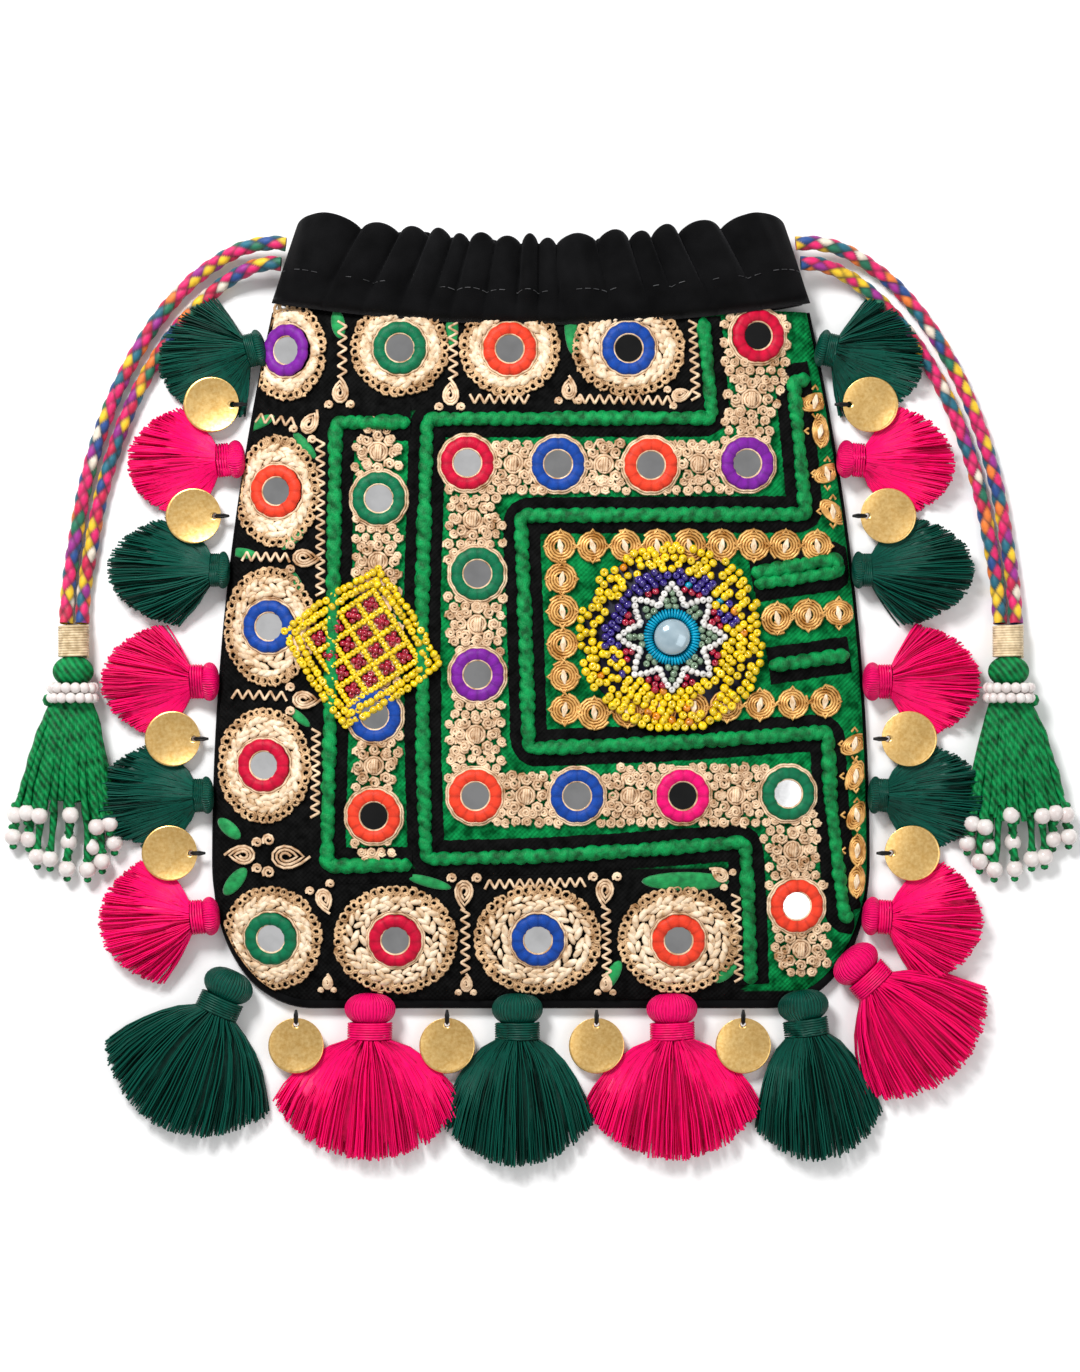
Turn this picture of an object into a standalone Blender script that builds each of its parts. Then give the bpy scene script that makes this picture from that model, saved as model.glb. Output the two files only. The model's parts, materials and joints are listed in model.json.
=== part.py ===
"""Potli bag: a drawstring pouch lying on its back, with an embroidered front panel.

The bag lies flat, mouth towards +Y and front panel up. X runs across it and Z is its thickness.
The origin is under the middle of the bag and its sewn-on trim, on the surface that it lies on.
Tassels and brass discs are sewn round the edge, and each disc swings up on its thread.
"""

import math

import bmesh
import bpy
from mathutils import Matrix, Vector

# The pouch's outline
HALF_LENGTH = 0.1615
SEAM_TOP_Y = 0.1277
WIDEST_Y = -0.060
BOTTOM_Y = -0.1065
TOP_HALF = 0.0905
WIDE_HALF = 0.111
FLAT_HALF = 0.078

# Its section
CLOTH = 0.0022
GAP = 0.0003
CROWN = 0.0125
CROWN_POWER = 0.6
SIDE_FALL = 2.6
TAPER_Y = 0.0

# The gathered casing round the mouth
CASING_BOTTOM_Y = SEAM_TOP_Y + GAP
CASING_TOP_HALF = 0.083
CASING_TOP_Z = 0.0225
CASING_BACK_Z = 0.0062
MOUTH_HEIGHT = 0.0085

# Edge binding, tassels and discs
BINDING_RADIUS = 0.0023
TASSEL_CLEARANCE = 0.0010
DISC_RADIUS = 0.0095
DISC_THICKNESS = 0.0008
DISC_DISH = 0.0012
DISC_HOLE_RADIUS = 0.0009
DISC_HOLE_INSET = 0.0021
DISC_Z = 0.0030
DISC_CLEARANCE = 0.0009

# Beaded motifs on the front panel
MOTIF_THICKNESS = 0.0024
ROUND_MOTIF = (0.0442, 0.0170)
ROUND_MOTIF_RADIUS = 0.0305
LOZENGE = (-0.0605, 0.0135)
LOZENGE_HALF = 0.0170
LOZENGE_TURN = math.radians(33)
CABOCHON_RADIUS = 0.0052

# Drawcords and what hangs on them
CORD_RADIUS = 0.0025
CORD_POINTS = 30
OUTER_ROUTE = (
    (-0.0866, 0.1507, 0.0090),
    (-0.0925, 0.1510, 0.0088),
    (-0.1020, 0.1492, 0.0068),
    (-0.1120, 0.1440, 0.0038),
    (-0.1225, 0.1355, 0.0026),
    (-0.1330, 0.1225, 0.0026),
    (-0.1425, 0.1060, 0.0026),
    (-0.1500, 0.0880, 0.0026),
    (-0.1555, 0.0690, 0.0026),
    (-0.1590, 0.0500, 0.0026),
    (-0.1613, 0.0340, 0.0027),
    (-0.16190, 0.0218, 0.0044),
)
INNER_ROUTE = (
    (-0.0883, 0.1440, 0.0090),
    (-0.0935, 0.1440, 0.0087),
    (-0.1005, 0.1420, 0.0068),
    (-0.1090, 0.1372, 0.0038),
    (-0.1182, 0.1293, 0.0026),
    (-0.1280, 0.1172, 0.0026),
    (-0.1372, 0.1018, 0.0026),
    (-0.1444, 0.0850, 0.0026),
    (-0.1498, 0.0668, 0.0026),
    (-0.1534, 0.0488, 0.0026),
    (-0.1558, 0.0338, 0.0027),
    (-0.15650, 0.0218, 0.0044),
)
FERRULE_X = 0.1592
FERRULE_TOP_Y = 0.0209
FERRULE_LENGTH = 0.0105
FERRULE_RADIUS = 0.0050
RING_RADIUS = 0.0092
RING_BEAD = 0.0029
WAIST_RADIUS = 0.0031
CORD_TASSEL_LENGTH = 0.0685
CORD_TASSEL_HALF = 0.0180

GREEN = (0.0, 0.10, 0.075)
PINK = (0.85, 0.0, 0.20)
LEAF = (0.0, 0.20, 0.06)
BLACK = (0.008, 0.008, 0.008)
BRASS = (0.75, 0.48, 0.14)
CREAM = (0.62, 0.50, 0.36)
YELLOW = (0.85, 0.65, 0.0)
PEARL = (0.85, 0.82, 0.80)
BRAID = (0.55, 0.12, 0.16)

# Name, seam point, direction in degrees, length and half width of each tassel on the edge
SIDE_TASSEL_Y = (0.1180, 0.0785, 0.0400, 0.0020, -0.0365, -0.0775)
SIDE_TASSEL_LENGTH = (0.0205, 0.0310, 0.0350, 0.0310, 0.0255, 0.0350)
SIDE_TASSEL_HALF = (0.0110, 0.0150, 0.0178, 0.0178, 0.0175, 0.0175)
SIDE_TASSEL_ANGLE = (-6, -4, -2, -2, -2, -3)
LOWER_TASSELS = (
    ("tassel_lower_1", (-0.1010, -0.0945), 243, 0.0510, 0.0200, GREEN),
    ("tassel_lower_2", (-0.0580, BOTTOM_Y), 270, None, 0.0255, PINK),
    ("tassel_lower_3", (-0.0080, BOTTOM_Y), 270, None, 0.0205, GREEN),
    ("tassel_lower_4", (0.0445, BOTTOM_Y), 270, None, 0.0255, PINK),
    ("tassel_lower_5", (0.0885, -0.1040), 276, 0.0490, 0.0165, GREEN),
    ("tassel_lower_6", (0.1040, -0.0905), 313, 0.0450, 0.0180, PINK),
)
SIDE_DISC_Y = (0.0965, 0.0585, -0.0175, -0.0565)
LOWER_DISC_X = (-0.0835, -0.0320, 0.0190, 0.0690)


def clear_scene():
    for obj in list(bpy.data.objects):
        bpy.data.objects.remove(obj, do_unlink=True)


def material(name, colour, roughness, metallic=0.0):
    found = bpy.data.materials.get(name)
    if found:
        return found
    made = bpy.data.materials.new(name)
    made.use_nodes = True
    shader = made.node_tree.nodes["Principled BSDF"]
    shader.inputs["Base Color"].default_value = (*colour, 1)
    shader.inputs["Roughness"].default_value = roughness
    shader.inputs["Metallic"].default_value = metallic
    return made


def place(bm, name, finish):
    """Makes the bmesh an object of that name, with its faces pointing out."""
    bmesh.ops.recalc_face_normals(bm, faces=bm.faces)
    mesh = bpy.data.meshes.new(name)
    bm.to_mesh(mesh)
    bm.free()
    mesh.materials.append(finish)
    mesh.shade_smooth()
    mesh.set_sharp_from_angle(angle=math.radians(40))
    obj = bpy.data.objects.new(name, mesh)
    bpy.context.scene.collection.objects.link(obj)
    return obj


def half_width(y):
    """Half the pouch's width at y: a bowed side, then a rounded lower corner."""
    if y >= WIDEST_Y:
        share = (SEAM_TOP_Y - y) / (SEAM_TOP_Y - WIDEST_Y)
        return TOP_HALF + (WIDE_HALF - TOP_HALF) * (1 - (1 - share) ** 2)
    share = min(1, (WIDEST_Y - y) / (WIDEST_Y - BOTTOM_Y))
    return FLAT_HALF + (WIDE_HALF - FLAT_HALF) * math.sqrt(1 - share * share)


def crown(x, y):
    """Height of the front panel's inner face above the seam."""
    across = 1 - min(1, abs(x) / half_width(y)) ** SIDE_FALL
    fall = max(0, (TAPER_Y - y) / (TAPER_Y - BOTTOM_Y))
    return CROWN * (across * max(0, 1 - fall**SIDE_FALL)) ** CROWN_POWER


def panel_row(share):
    """The y of a row of the panel, with rows closer together round the lower corners."""
    if share < 0.6:
        return SEAM_TOP_Y + (WIDEST_Y - SEAM_TOP_Y) * share / 0.6
    turn = math.radians(90) * (share - 0.6) / 0.4
    return WIDEST_Y + (BOTTOM_Y - WIDEST_Y) * math.sin(turn)


def panel(name, low, thickness, finish):
    """A cloth panel of the pouch's outline, whose lower face is at low(x, y)."""
    columns, rows = 16, 15
    bm = bmesh.new()
    bmesh.ops.create_grid(bm, x_segments=columns, y_segments=rows, size=1)
    for vert in bm.verts:
        y = panel_row((1 - vert.co.y) / 2)
        x = math.sin(vert.co.x * math.radians(90)) * half_width(y)
        vert.co = (x, y, low(x, y))
    made = bmesh.ops.extrude_face_region(bm, geom=bm.faces[:], use_keep_orig=True)
    raised = [v for v in made["geom"] if isinstance(v, bmesh.types.BMVert)]
    bmesh.ops.translate(bm, verts=raised, vec=(0, 0, thickness))
    return place(bm, name, finish)


def make_panels():
    cloth = material("Embroidered cloth", LEAF, 0.9)
    velvet = material("Black velvet", BLACK, 0.95)
    panel("back_panel", lambda x, y: 0, CLOTH, velvet)
    panel("front_panel", lambda x, y: CLOTH + GAP + crown(x, y), CLOTH, cloth)


def casing_half_width(y):
    share = (y - CASING_BOTTOM_Y) / (HALF_LENGTH - CASING_BOTTOM_Y)
    return TOP_HALF + (CASING_TOP_HALF - TOP_HALF) * share


def casing(name, low, high):
    """One band of the casing, from low(u) to high(u), where u runs from -1 to 1 across it."""
    bm = bmesh.new()
    bmesh.ops.create_grid(bm, x_segments=18, y_segments=3, size=1)
    for vert in bm.verts:
        y = CASING_BOTTOM_Y + (HALF_LENGTH - CASING_BOTTOM_Y) * (vert.co.y + 1) / 2
        u = vert.co.x
        vert.co = (u * casing_half_width(y), y, u)
    made = bmesh.ops.extrude_face_region(bm, geom=bm.faces[:], use_keep_orig=True)
    raised = {v for v in made["geom"] if isinstance(v, bmesh.types.BMVert)}
    for vert in bm.verts:
        u = vert.co.z
        vert.co.z = high(u) if vert in raised else low(u)
    return place(bm, name, material("Black velvet", BLACK, 0.95))


def make_casing():
    """Two gathered bands that meet at the sides and leave the mouth open between them."""
    mouth_base = CASING_BACK_Z + GAP
    edge_top = mouth_base + 0.005

    def arch(u, height):
        return height * max(0, 1 - abs(u) ** SIDE_FALL) ** CROWN_POWER

    casing("casing_back", lambda u: 0, lambda u: CASING_BACK_Z)
    casing(
        "casing_front",
        lambda u: mouth_base + arch(u, MOUTH_HEIGHT),
        lambda u: edge_top + arch(u, CASING_TOP_Z - edge_top),
    )


def seam_point(y, side):
    return Vector((side * half_width(y), y))


def seam_route():
    """The pouch's edge from its left shoulder, round the bottom, to its right one."""
    left = [seam_point(panel_row(i / 25), -1) for i in range(26)]
    middle = [Vector((x * FLAT_HALF / 6, BOTTOM_Y)) for x in range(-5, 6)]
    right = [seam_point(panel_row(1 - i / 25), 1) for i in range(26)]
    return left + middle + right


def make_binding():
    """A round binding sewn along the edge, just outside both panels."""
    route = seam_route()
    offset = BINDING_RADIUS + GAP
    points = []
    for index, point in enumerate(route):
        along = route[min(index + 1, len(route) - 1)] - route[max(index - 1, 0)]
        away = Vector((along.y, -along.x)).normalized()
        points.append(point + away * offset)
    tube("edge_binding", [(p.x, p.y, BINDING_RADIUS + GAP) for p in points], BINDING_RADIUS,
         material("Black velvet", BLACK, 0.95))


def tube(name, points, radius, finish, resolution=2):
    """A round tube with filled ends along the points."""
    curve = bpy.data.curves.new(name, "CURVE")
    curve.dimensions = "3D"
    curve.bevel_depth = radius
    curve.bevel_resolution = resolution
    curve.use_fill_caps = True
    spline = curve.splines.new("POLY")
    spline.points.add(len(points) - 1)
    for knot, point in zip(spline.points, points):
        knot.co = (*point, 1)
    curve.materials.append(finish)
    obj = bpy.data.objects.new(name, curve)
    bpy.context.scene.collection.objects.link(obj)
    return obj


def loft(stations, sides):
    """A closed solid through rings (distance, half width, half height, centre height) along +X."""
    bm = bmesh.new()
    rings = []
    for distance, across, up, centre in stations:
        turn = Matrix.Rotation(math.radians(90), 4, "Y")
        made = bmesh.ops.create_circle(bm, segments=sides, radius=1, matrix=turn)["verts"]
        bmesh.ops.scale(bm, verts=made, vec=(1, across, up))
        bmesh.ops.translate(bm, verts=made, vec=(distance, 0, centre))
        rings.append(made)
    for first, second in zip(rings, rings[1:]):
        for i in range(sides):
            j = (i + 1) % sides
            bm.faces.new((first[i], first[j], second[j], second[i]))
    bm.faces.new(rings[0])
    bm.faces.new(rings[-1])
    return bm


def fan_stations(length, half):
    """Head, neck and spread skirt of a tassel that lies on its side."""
    head, floor = 0.0052, 0.0002
    skirt = length - 0.0115
    return (
        (0.0000, 0.0022, 0.0022, head * 0.6),
        (0.0018, 0.0048, 0.0042, floor + 0.0045),
        (0.0055, 0.0062, head, floor + head),
        (0.0092, 0.0046, 0.0044, floor + 0.0044),
        (0.0115, 0.0060, 0.0050, floor + 0.0050),
        (0.0115 + skirt * 0.30, half * 0.62, 0.0056, floor + 0.0056),
        (0.0115 + skirt * 0.65, half * 0.92, 0.0054, floor + 0.0054),
        (0.0115 + skirt * 0.86, half, 0.0046, floor + 0.0046),
        (length, half * 0.78, 0.0030, floor + 0.0030),
    )


def edge_tassel(name, seam, degrees, length, half, colour):
    """A tassel whose head touches the binding at seam and whose skirt points that way."""
    direction = Vector((math.cos(math.radians(degrees)), math.sin(math.radians(degrees))))
    start = seam + direction * (2 * BINDING_RADIUS + GAP + TASSEL_CLEARANCE)
    if length is None:
        length = start.y + HALF_LENGTH
    bm = loft(fan_stations(length, half), 12)
    bmesh.ops.rotate(bm, verts=bm.verts, matrix=Matrix.Rotation(math.radians(degrees), 3, "Z"))
    bmesh.ops.translate(bm, verts=bm.verts, vec=(start.x, start.y, 0))
    kind = "Green silk thread" if colour is GREEN else "Pink silk thread"
    return place(bm, name, material(kind, colour, 0.6))


def make_edge_tassels():
    rows = zip(SIDE_TASSEL_Y, SIDE_TASSEL_LENGTH, SIDE_TASSEL_HALF, SIDE_TASSEL_ANGLE)
    for number, (y, length, half, lift) in enumerate(rows, 1):
        colour = GREEN if number % 2 else PINK
        for side, word in ((-1, "left"), (1, "right")):
            degrees = 180 - lift if side < 0 else lift
            name = f"tassel_{word}_{number}"
            edge_tassel(name, seam_point(y, side), degrees, length, half, colour)
    for name, seam, degrees, length, half, colour in LOWER_TASSELS:
        edge_tassel(name, Vector(seam), degrees, length, half, colour)


def hole_cutter(name):
    bm = bmesh.new()
    bmesh.ops.create_cone(bm, cap_ends=True, segments=10, radius1=DISC_HOLE_RADIUS,
                          radius2=DISC_HOLE_RADIUS, depth=0.02)
    cutter = place(bm, name, material("Brass", BRASS, 0.35, 1))
    cutter.hide_render = True
    cutter.display_type = "WIRE"
    return cutter


def disc_mesh():
    """A dished brass disc lying flat, its edge at the origin and its middle along +X."""
    bm = bmesh.new()
    bmesh.ops.create_circle(bm, cap_ends=True, segments=28, radius=DISC_RADIUS)
    bmesh.ops.inset_region(bm, faces=bm.faces[:], thickness=DISC_RADIUS * 0.45,
                           use_boundary=True)
    made = bmesh.ops.extrude_face_region(bm, geom=bm.faces[:], use_keep_orig=True)
    raised = [v for v in made["geom"] if isinstance(v, bmesh.types.BMVert)]
    bmesh.ops.translate(bm, verts=raised, vec=(0, 0, DISC_THICKNESS))
    for vert in bm.verts:
        share = vert.co.xy.length / DISC_RADIUS
        vert.co.z += DISC_DISH * (1 - share * share)
    return bm


def make_disc(name, hinge, degrees):
    """A disc whose own origin is on the thread that it swings on."""
    bm = disc_mesh()
    bmesh.ops.translate(bm, verts=bm.verts, vec=(DISC_RADIUS + DISC_CLEARANCE, 0, 0))
    disc = place(bm, name, material("Brass", BRASS, 0.35, 1))
    cutter = hole_cutter(f"{name}_hole")
    cutter.location = (DISC_HOLE_INSET + DISC_CLEARANCE, 0, 0)
    cutter.parent = disc
    cut = disc.modifiers.new("Thread hole", "BOOLEAN")
    cut.operation = "DIFFERENCE"
    cut.object = cutter
    disc.location = (hinge.x, hinge.y, DISC_Z)
    disc.rotation_euler.z = math.radians(degrees)
    return disc


def disc_places():
    """Name, hinge point and outward direction in degrees of each disc."""
    reach = 2 * BINDING_RADIUS + GAP + 0.0004
    for number, y in enumerate(SIDE_DISC_Y, 1):
        for side, word in ((-1, "left"), (1, "right")):
            hinge = seam_point(y, side) + Vector((side * reach, 0))
            yield f"disc_{word}_{number}", hinge, 180 if side < 0 else 0
    for number, x in enumerate(LOWER_DISC_X, 1):
        yield f"disc_lower_{number}", Vector((x, BOTTOM_Y - reach)), 270


def make_discs():
    for name, hinge, degrees in disc_places():
        make_disc(name, hinge, degrees)


def front_top(x, y):
    """The front panel's outer face."""
    return CLOTH + GAP + crown(x, y) + CLOTH


def patch(bm, name, centre, thickness, finish):
    """Lays flat faces on the front panel, centred there, and gives them thickness."""
    for vert in bm.verts:
        x, y = vert.co.x + centre[0], vert.co.y + centre[1]
        vert.co = (x, y, front_top(x, y) + GAP)
    made = bmesh.ops.extrude_face_region(bm, geom=bm.faces[:], use_keep_orig=True)
    raised = [v for v in made["geom"] if isinstance(v, bmesh.types.BMVert)]
    bmesh.ops.translate(bm, verts=raised, vec=(0, 0, thickness))
    return place(bm, name, finish)


def make_motifs():
    beads = material("Yellow glass beads", YELLOW, 0.25)
    bm = bmesh.new()
    bmesh.ops.create_grid(bm, x_segments=6, y_segments=6, size=LOZENGE_HALF)
    bmesh.ops.rotate(bm, verts=bm.verts, matrix=Matrix.Rotation(LOZENGE_TURN, 3, "Z"))
    patch(bm, "lozenge_motif", LOZENGE, MOTIF_THICKNESS, beads)
    bm = bmesh.new()
    bmesh.ops.create_grid(bm, x_segments=10, y_segments=10, size=1)
    for vert in bm.verts:
        square = max(abs(vert.co.x), abs(vert.co.y))
        if square > 0:
            vert.co = vert.co.normalized() * square * ROUND_MOTIF_RADIUS
    patch(bm, "round_motif", ROUND_MOTIF, MOTIF_THICKNESS, beads)
    bm = bmesh.new()
    bmesh.ops.create_uvsphere(bm, u_segments=20, v_segments=12, radius=CABOCHON_RADIUS)
    cut = bmesh.ops.bisect_plane(bm, geom=bm.verts[:] + bm.edges[:] + bm.faces[:],
                                 plane_co=(0, 0, 0.001), plane_no=(0, 0, 1), clear_inner=True)
    rim = [e for e in cut["geom_cut"] if isinstance(e, bmesh.types.BMEdge)]
    bmesh.ops.edgeloop_fill(bm, edges=rim)
    base = front_top(ROUND_MOTIF[0], ROUND_MOTIF[1]) + MOTIF_THICKNESS + 3 * GAP
    bmesh.ops.scale(bm, verts=bm.verts, vec=(1, 1, 0.7))
    bmesh.ops.translate(bm, verts=bm.verts, vec=(*ROUND_MOTIF, base))
    place(bm, "centre_cabochon", material("Pearly cabochon", PEARL, 0.15))


def smooth_route(points, count):
    """Evenly spread points on a smooth curve through the route's own points."""
    route = [Vector(p) for p in points]
    ends = [2 * route[0] - route[1]] + route + [2 * route[-1] - route[-2]]
    dense = []
    for a, b, c, d in zip(ends, ends[1:], ends[2:], ends[3:]):
        for step in range(24):
            t = step / 24
            dense.append(0.5 * (2 * b + (c - a) * t + (2 * a - 5 * b + 4 * c - d) * t * t
                                + (3 * b - a - 3 * c + d) * t**3))
    dense.append(route[-1])
    lengths = [0.0]
    for first, second in zip(dense, dense[1:]):
        lengths.append(lengths[-1] + (second - first).length)
    spread, index = [], 0
    for step in range(count):
        want = lengths[-1] * step / (count - 1)
        while index < len(dense) - 2 and lengths[index + 1] < want:
            index += 1
        span = lengths[index + 1] - lengths[index]
        spread.append(dense[index].lerp(dense[index + 1], (want - lengths[index]) / span))
    return spread


def cord_tassel_stations():
    """Head, waist and skirt of a drawcord's tassel, from its wrapped neck down."""
    floor = 0.0002
    skirt = CORD_TASSEL_LENGTH - 0.0125
    return (
        (0.0000, 0.0040, 0.0040, floor + 0.0047),
        (0.0030, 0.0058, 0.0052, floor + 0.0053),
        (0.0075, 0.0066, 0.0060, floor + 0.0060),
        (0.0083, WAIST_RADIUS, WAIST_RADIUS, floor + RING_RADIUS),
        (0.0149, WAIST_RADIUS, WAIST_RADIUS, floor + RING_RADIUS),
        (0.0156, 0.0078, 0.0064, floor + 0.0064),
        (0.0125 + skirt * 0.35, CORD_TASSEL_HALF * 0.66, 0.0070, floor + 0.0070),
        (0.0125 + skirt * 0.75, CORD_TASSEL_HALF * 0.92, 0.0062, floor + 0.0062),
        (CORD_TASSEL_LENGTH, CORD_TASSEL_HALF, 0.0050, floor + 0.0050),
    )


def make_drawcords():
    braid = material("Braided cord", BRAID, 0.7)
    wrap = material("Cream thread wrap", CREAM, 0.55)
    thread = material("Leaf green thread", LEAF, 0.7)
    pearls = material("Pearls", PEARL, 0.2)
    down = Matrix.Rotation(math.radians(-90), 3, "Z")
    for side, word in ((-1, "left"), (1, "right")):
        for strand, route in (("outer", OUTER_ROUTE), ("inner", INNER_ROUTE)):
            points = [(-side * p.x, p.y, p.z) for p in smooth_route(route, CORD_POINTS)]
            tube(f"cord_{word}_{strand}", points, CORD_RADIUS, braid)
        head_y = FERRULE_TOP_Y - FERRULE_LENGTH - GAP
        centre = FERRULE_RADIUS + 0.0002
        bm = loft(
            ((0, FERRULE_RADIUS + 0.0009, FERRULE_RADIUS, centre),
             (FERRULE_LENGTH, FERRULE_RADIUS, FERRULE_RADIUS, centre)), 20)
        bmesh.ops.rotate(bm, verts=bm.verts, matrix=down)
        bmesh.ops.translate(bm, verts=bm.verts, vec=(side * FERRULE_X, FERRULE_TOP_Y, 0))
        place(bm, f"cord_wrap_{word}", wrap)
        bm = loft(cord_tassel_stations(), 14)
        bmesh.ops.rotate(bm, verts=bm.verts, matrix=down)
        bmesh.ops.translate(bm, verts=bm.verts, vec=(side * FERRULE_X, head_y, 0))
        place(bm, f"cord_tassel_{word}", thread)
        ring_y = head_y - 0.0115
        ring = pearl_ring()
        bmesh.ops.translate(ring, verts=ring.verts,
                            vec=(side * FERRULE_X, ring_y, RING_RADIUS + GAP))
        place(ring, f"pearl_ring_{word}", pearls)


def pearl_ring():
    """The pearls round the tassel's waist, as one turned ring."""
    bm = bmesh.new()
    made = bmesh.ops.create_circle(bm, segments=8, radius=RING_BEAD)
    bmesh.ops.translate(bm, verts=made["verts"], vec=(RING_RADIUS - RING_BEAD, 0, 0))
    bmesh.ops.spin(bm, geom=bm.verts[:] + bm.edges[:], cent=(0, 0, 0), axis=(0, 1, 0),
                   angle=math.radians(360), steps=18, use_merge=True)
    return bm


def main():
    clear_scene()
    make_panels()
    make_casing()
    make_binding()
    make_edge_tassels()
    make_discs()
    make_motifs()
    make_drawcords()


main()
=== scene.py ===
"""The looks of the potli bag: velvet casing, embroidered front, tassels, discs and drawcords.

Lengths are in metres. Embroidery is laid out flat, as x and y over the front panel with a height
above the cloth, and lay() then sets it on the domed skin.
"""

import json
import math

import bmesh
import bpy
import numpy as np
from mathutils import Matrix, Vector


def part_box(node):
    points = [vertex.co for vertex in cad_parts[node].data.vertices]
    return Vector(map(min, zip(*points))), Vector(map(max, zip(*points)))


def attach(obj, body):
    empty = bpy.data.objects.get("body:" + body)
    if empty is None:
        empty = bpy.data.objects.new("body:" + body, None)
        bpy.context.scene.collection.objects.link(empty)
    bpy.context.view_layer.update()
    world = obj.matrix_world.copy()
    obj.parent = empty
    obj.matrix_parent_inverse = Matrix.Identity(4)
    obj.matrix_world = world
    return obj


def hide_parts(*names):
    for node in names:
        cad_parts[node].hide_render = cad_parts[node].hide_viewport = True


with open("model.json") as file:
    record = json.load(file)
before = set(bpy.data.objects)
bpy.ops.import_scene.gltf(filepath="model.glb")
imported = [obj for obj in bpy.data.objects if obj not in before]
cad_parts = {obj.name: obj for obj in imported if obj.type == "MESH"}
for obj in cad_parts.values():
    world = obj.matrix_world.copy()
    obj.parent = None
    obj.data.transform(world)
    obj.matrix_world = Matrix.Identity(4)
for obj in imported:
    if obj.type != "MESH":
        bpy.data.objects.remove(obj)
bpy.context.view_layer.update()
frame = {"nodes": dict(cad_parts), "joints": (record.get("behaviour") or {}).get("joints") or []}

MM = 0.001
BODY = "pouch"
rng = np.random.default_rng(7)

# The pouch's outline and its crown, as the front panel has them
PANEL_LOW, PANEL_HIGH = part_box("front_panel")
SEAM_TOP_Y = PANEL_HIGH.y
BOTTOM_Y = PANEL_LOW.y
WIDE_HALF = PANEL_HIGH.x
WIDEST_Y = -0.060
TOP_HALF = 0.0905
FLAT_HALF = 0.078
SEAM_Z = 0.0047
CROWN = PANEL_HIGH.z - SEAM_Z
CROWN_POWER = 0.6
SIDE_FALL = 2.6


# ---------------------------------------------------------------- camera, lights and floor

PICTURE_HEIGHT = 0.4665
LENS = 100
SENSOR = 36


def make_camera():
    camera = bpy.data.objects.new("camera", bpy.data.cameras.new("camera"))
    bpy.context.scene.collection.objects.link(camera)
    camera.data.lens = LENS
    camera.data.sensor_width = SENSOR
    camera.location = (-0.0003, 0.0005, 0.008 + PICTURE_HEIGHT * LENS / SENSOR)
    bpy.context.scene.camera = camera


def area_light(name, place, target, size, power):
    light = bpy.data.lights.new(name, "AREA")
    light.size = size
    light.energy = power
    obj = bpy.data.objects.new(name, light)
    obj.location = place
    obj.rotation_euler = (Vector(target) - Vector(place)).to_track_quat("-Z", "Y").to_euler()
    bpy.context.scene.collection.objects.link(obj)


def make_studio():
    scene = bpy.context.scene
    scene.view_settings.view_transform = "Standard"
    world = bpy.data.worlds.new("soft room")
    scene.world = world
    world.use_nodes = True
    sky = world.node_tree.nodes["Background"]
    sky.inputs["Color"].default_value = (1, 1, 1, 1)
    sky.inputs["Strength"].default_value = 0.55
    area_light("key", (-0.45, 0.75, 0.95), (0, 0, 0), 0.35, 17)
    area_light("fill", (0.8, -0.3, 0.9), (0, 0, 0), 0.9, 3.5)
    bm = bmesh.new()
    bmesh.ops.create_grid(bm, x_segments=1, y_segments=1, size=3)
    floor = new_object("floor", bm, floor_finish())


# ---------------------------------------------------------------- finishes


class Value:
    """A socket with arithmetic: an expression on values adds its Math nodes."""

    def __init__(self, finish, socket):
        self.finish = finish
        self.socket = socket

    def math(self, operation, *others):
        inputs = {0: self}
        inputs.update({i + 1: other for i, other in enumerate(others)})
        return self.finish.node("ShaderNodeMath", {"operation": operation}, inputs)

    def __add__(self, other):
        return self.math("ADD", other)

    def __mul__(self, other):
        return self.math("MULTIPLY", other)

    def __sub__(self, other):
        return self.math("SUBTRACT", other)

    def __rsub__(self, other):
        return self * -1 + other

    def __pow__(self, other):
        return self.math("POWER", other)

    def sine(self):
        return self.math("SINE")

    __radd__ = __add__
    __rmul__ = __mul__


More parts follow.
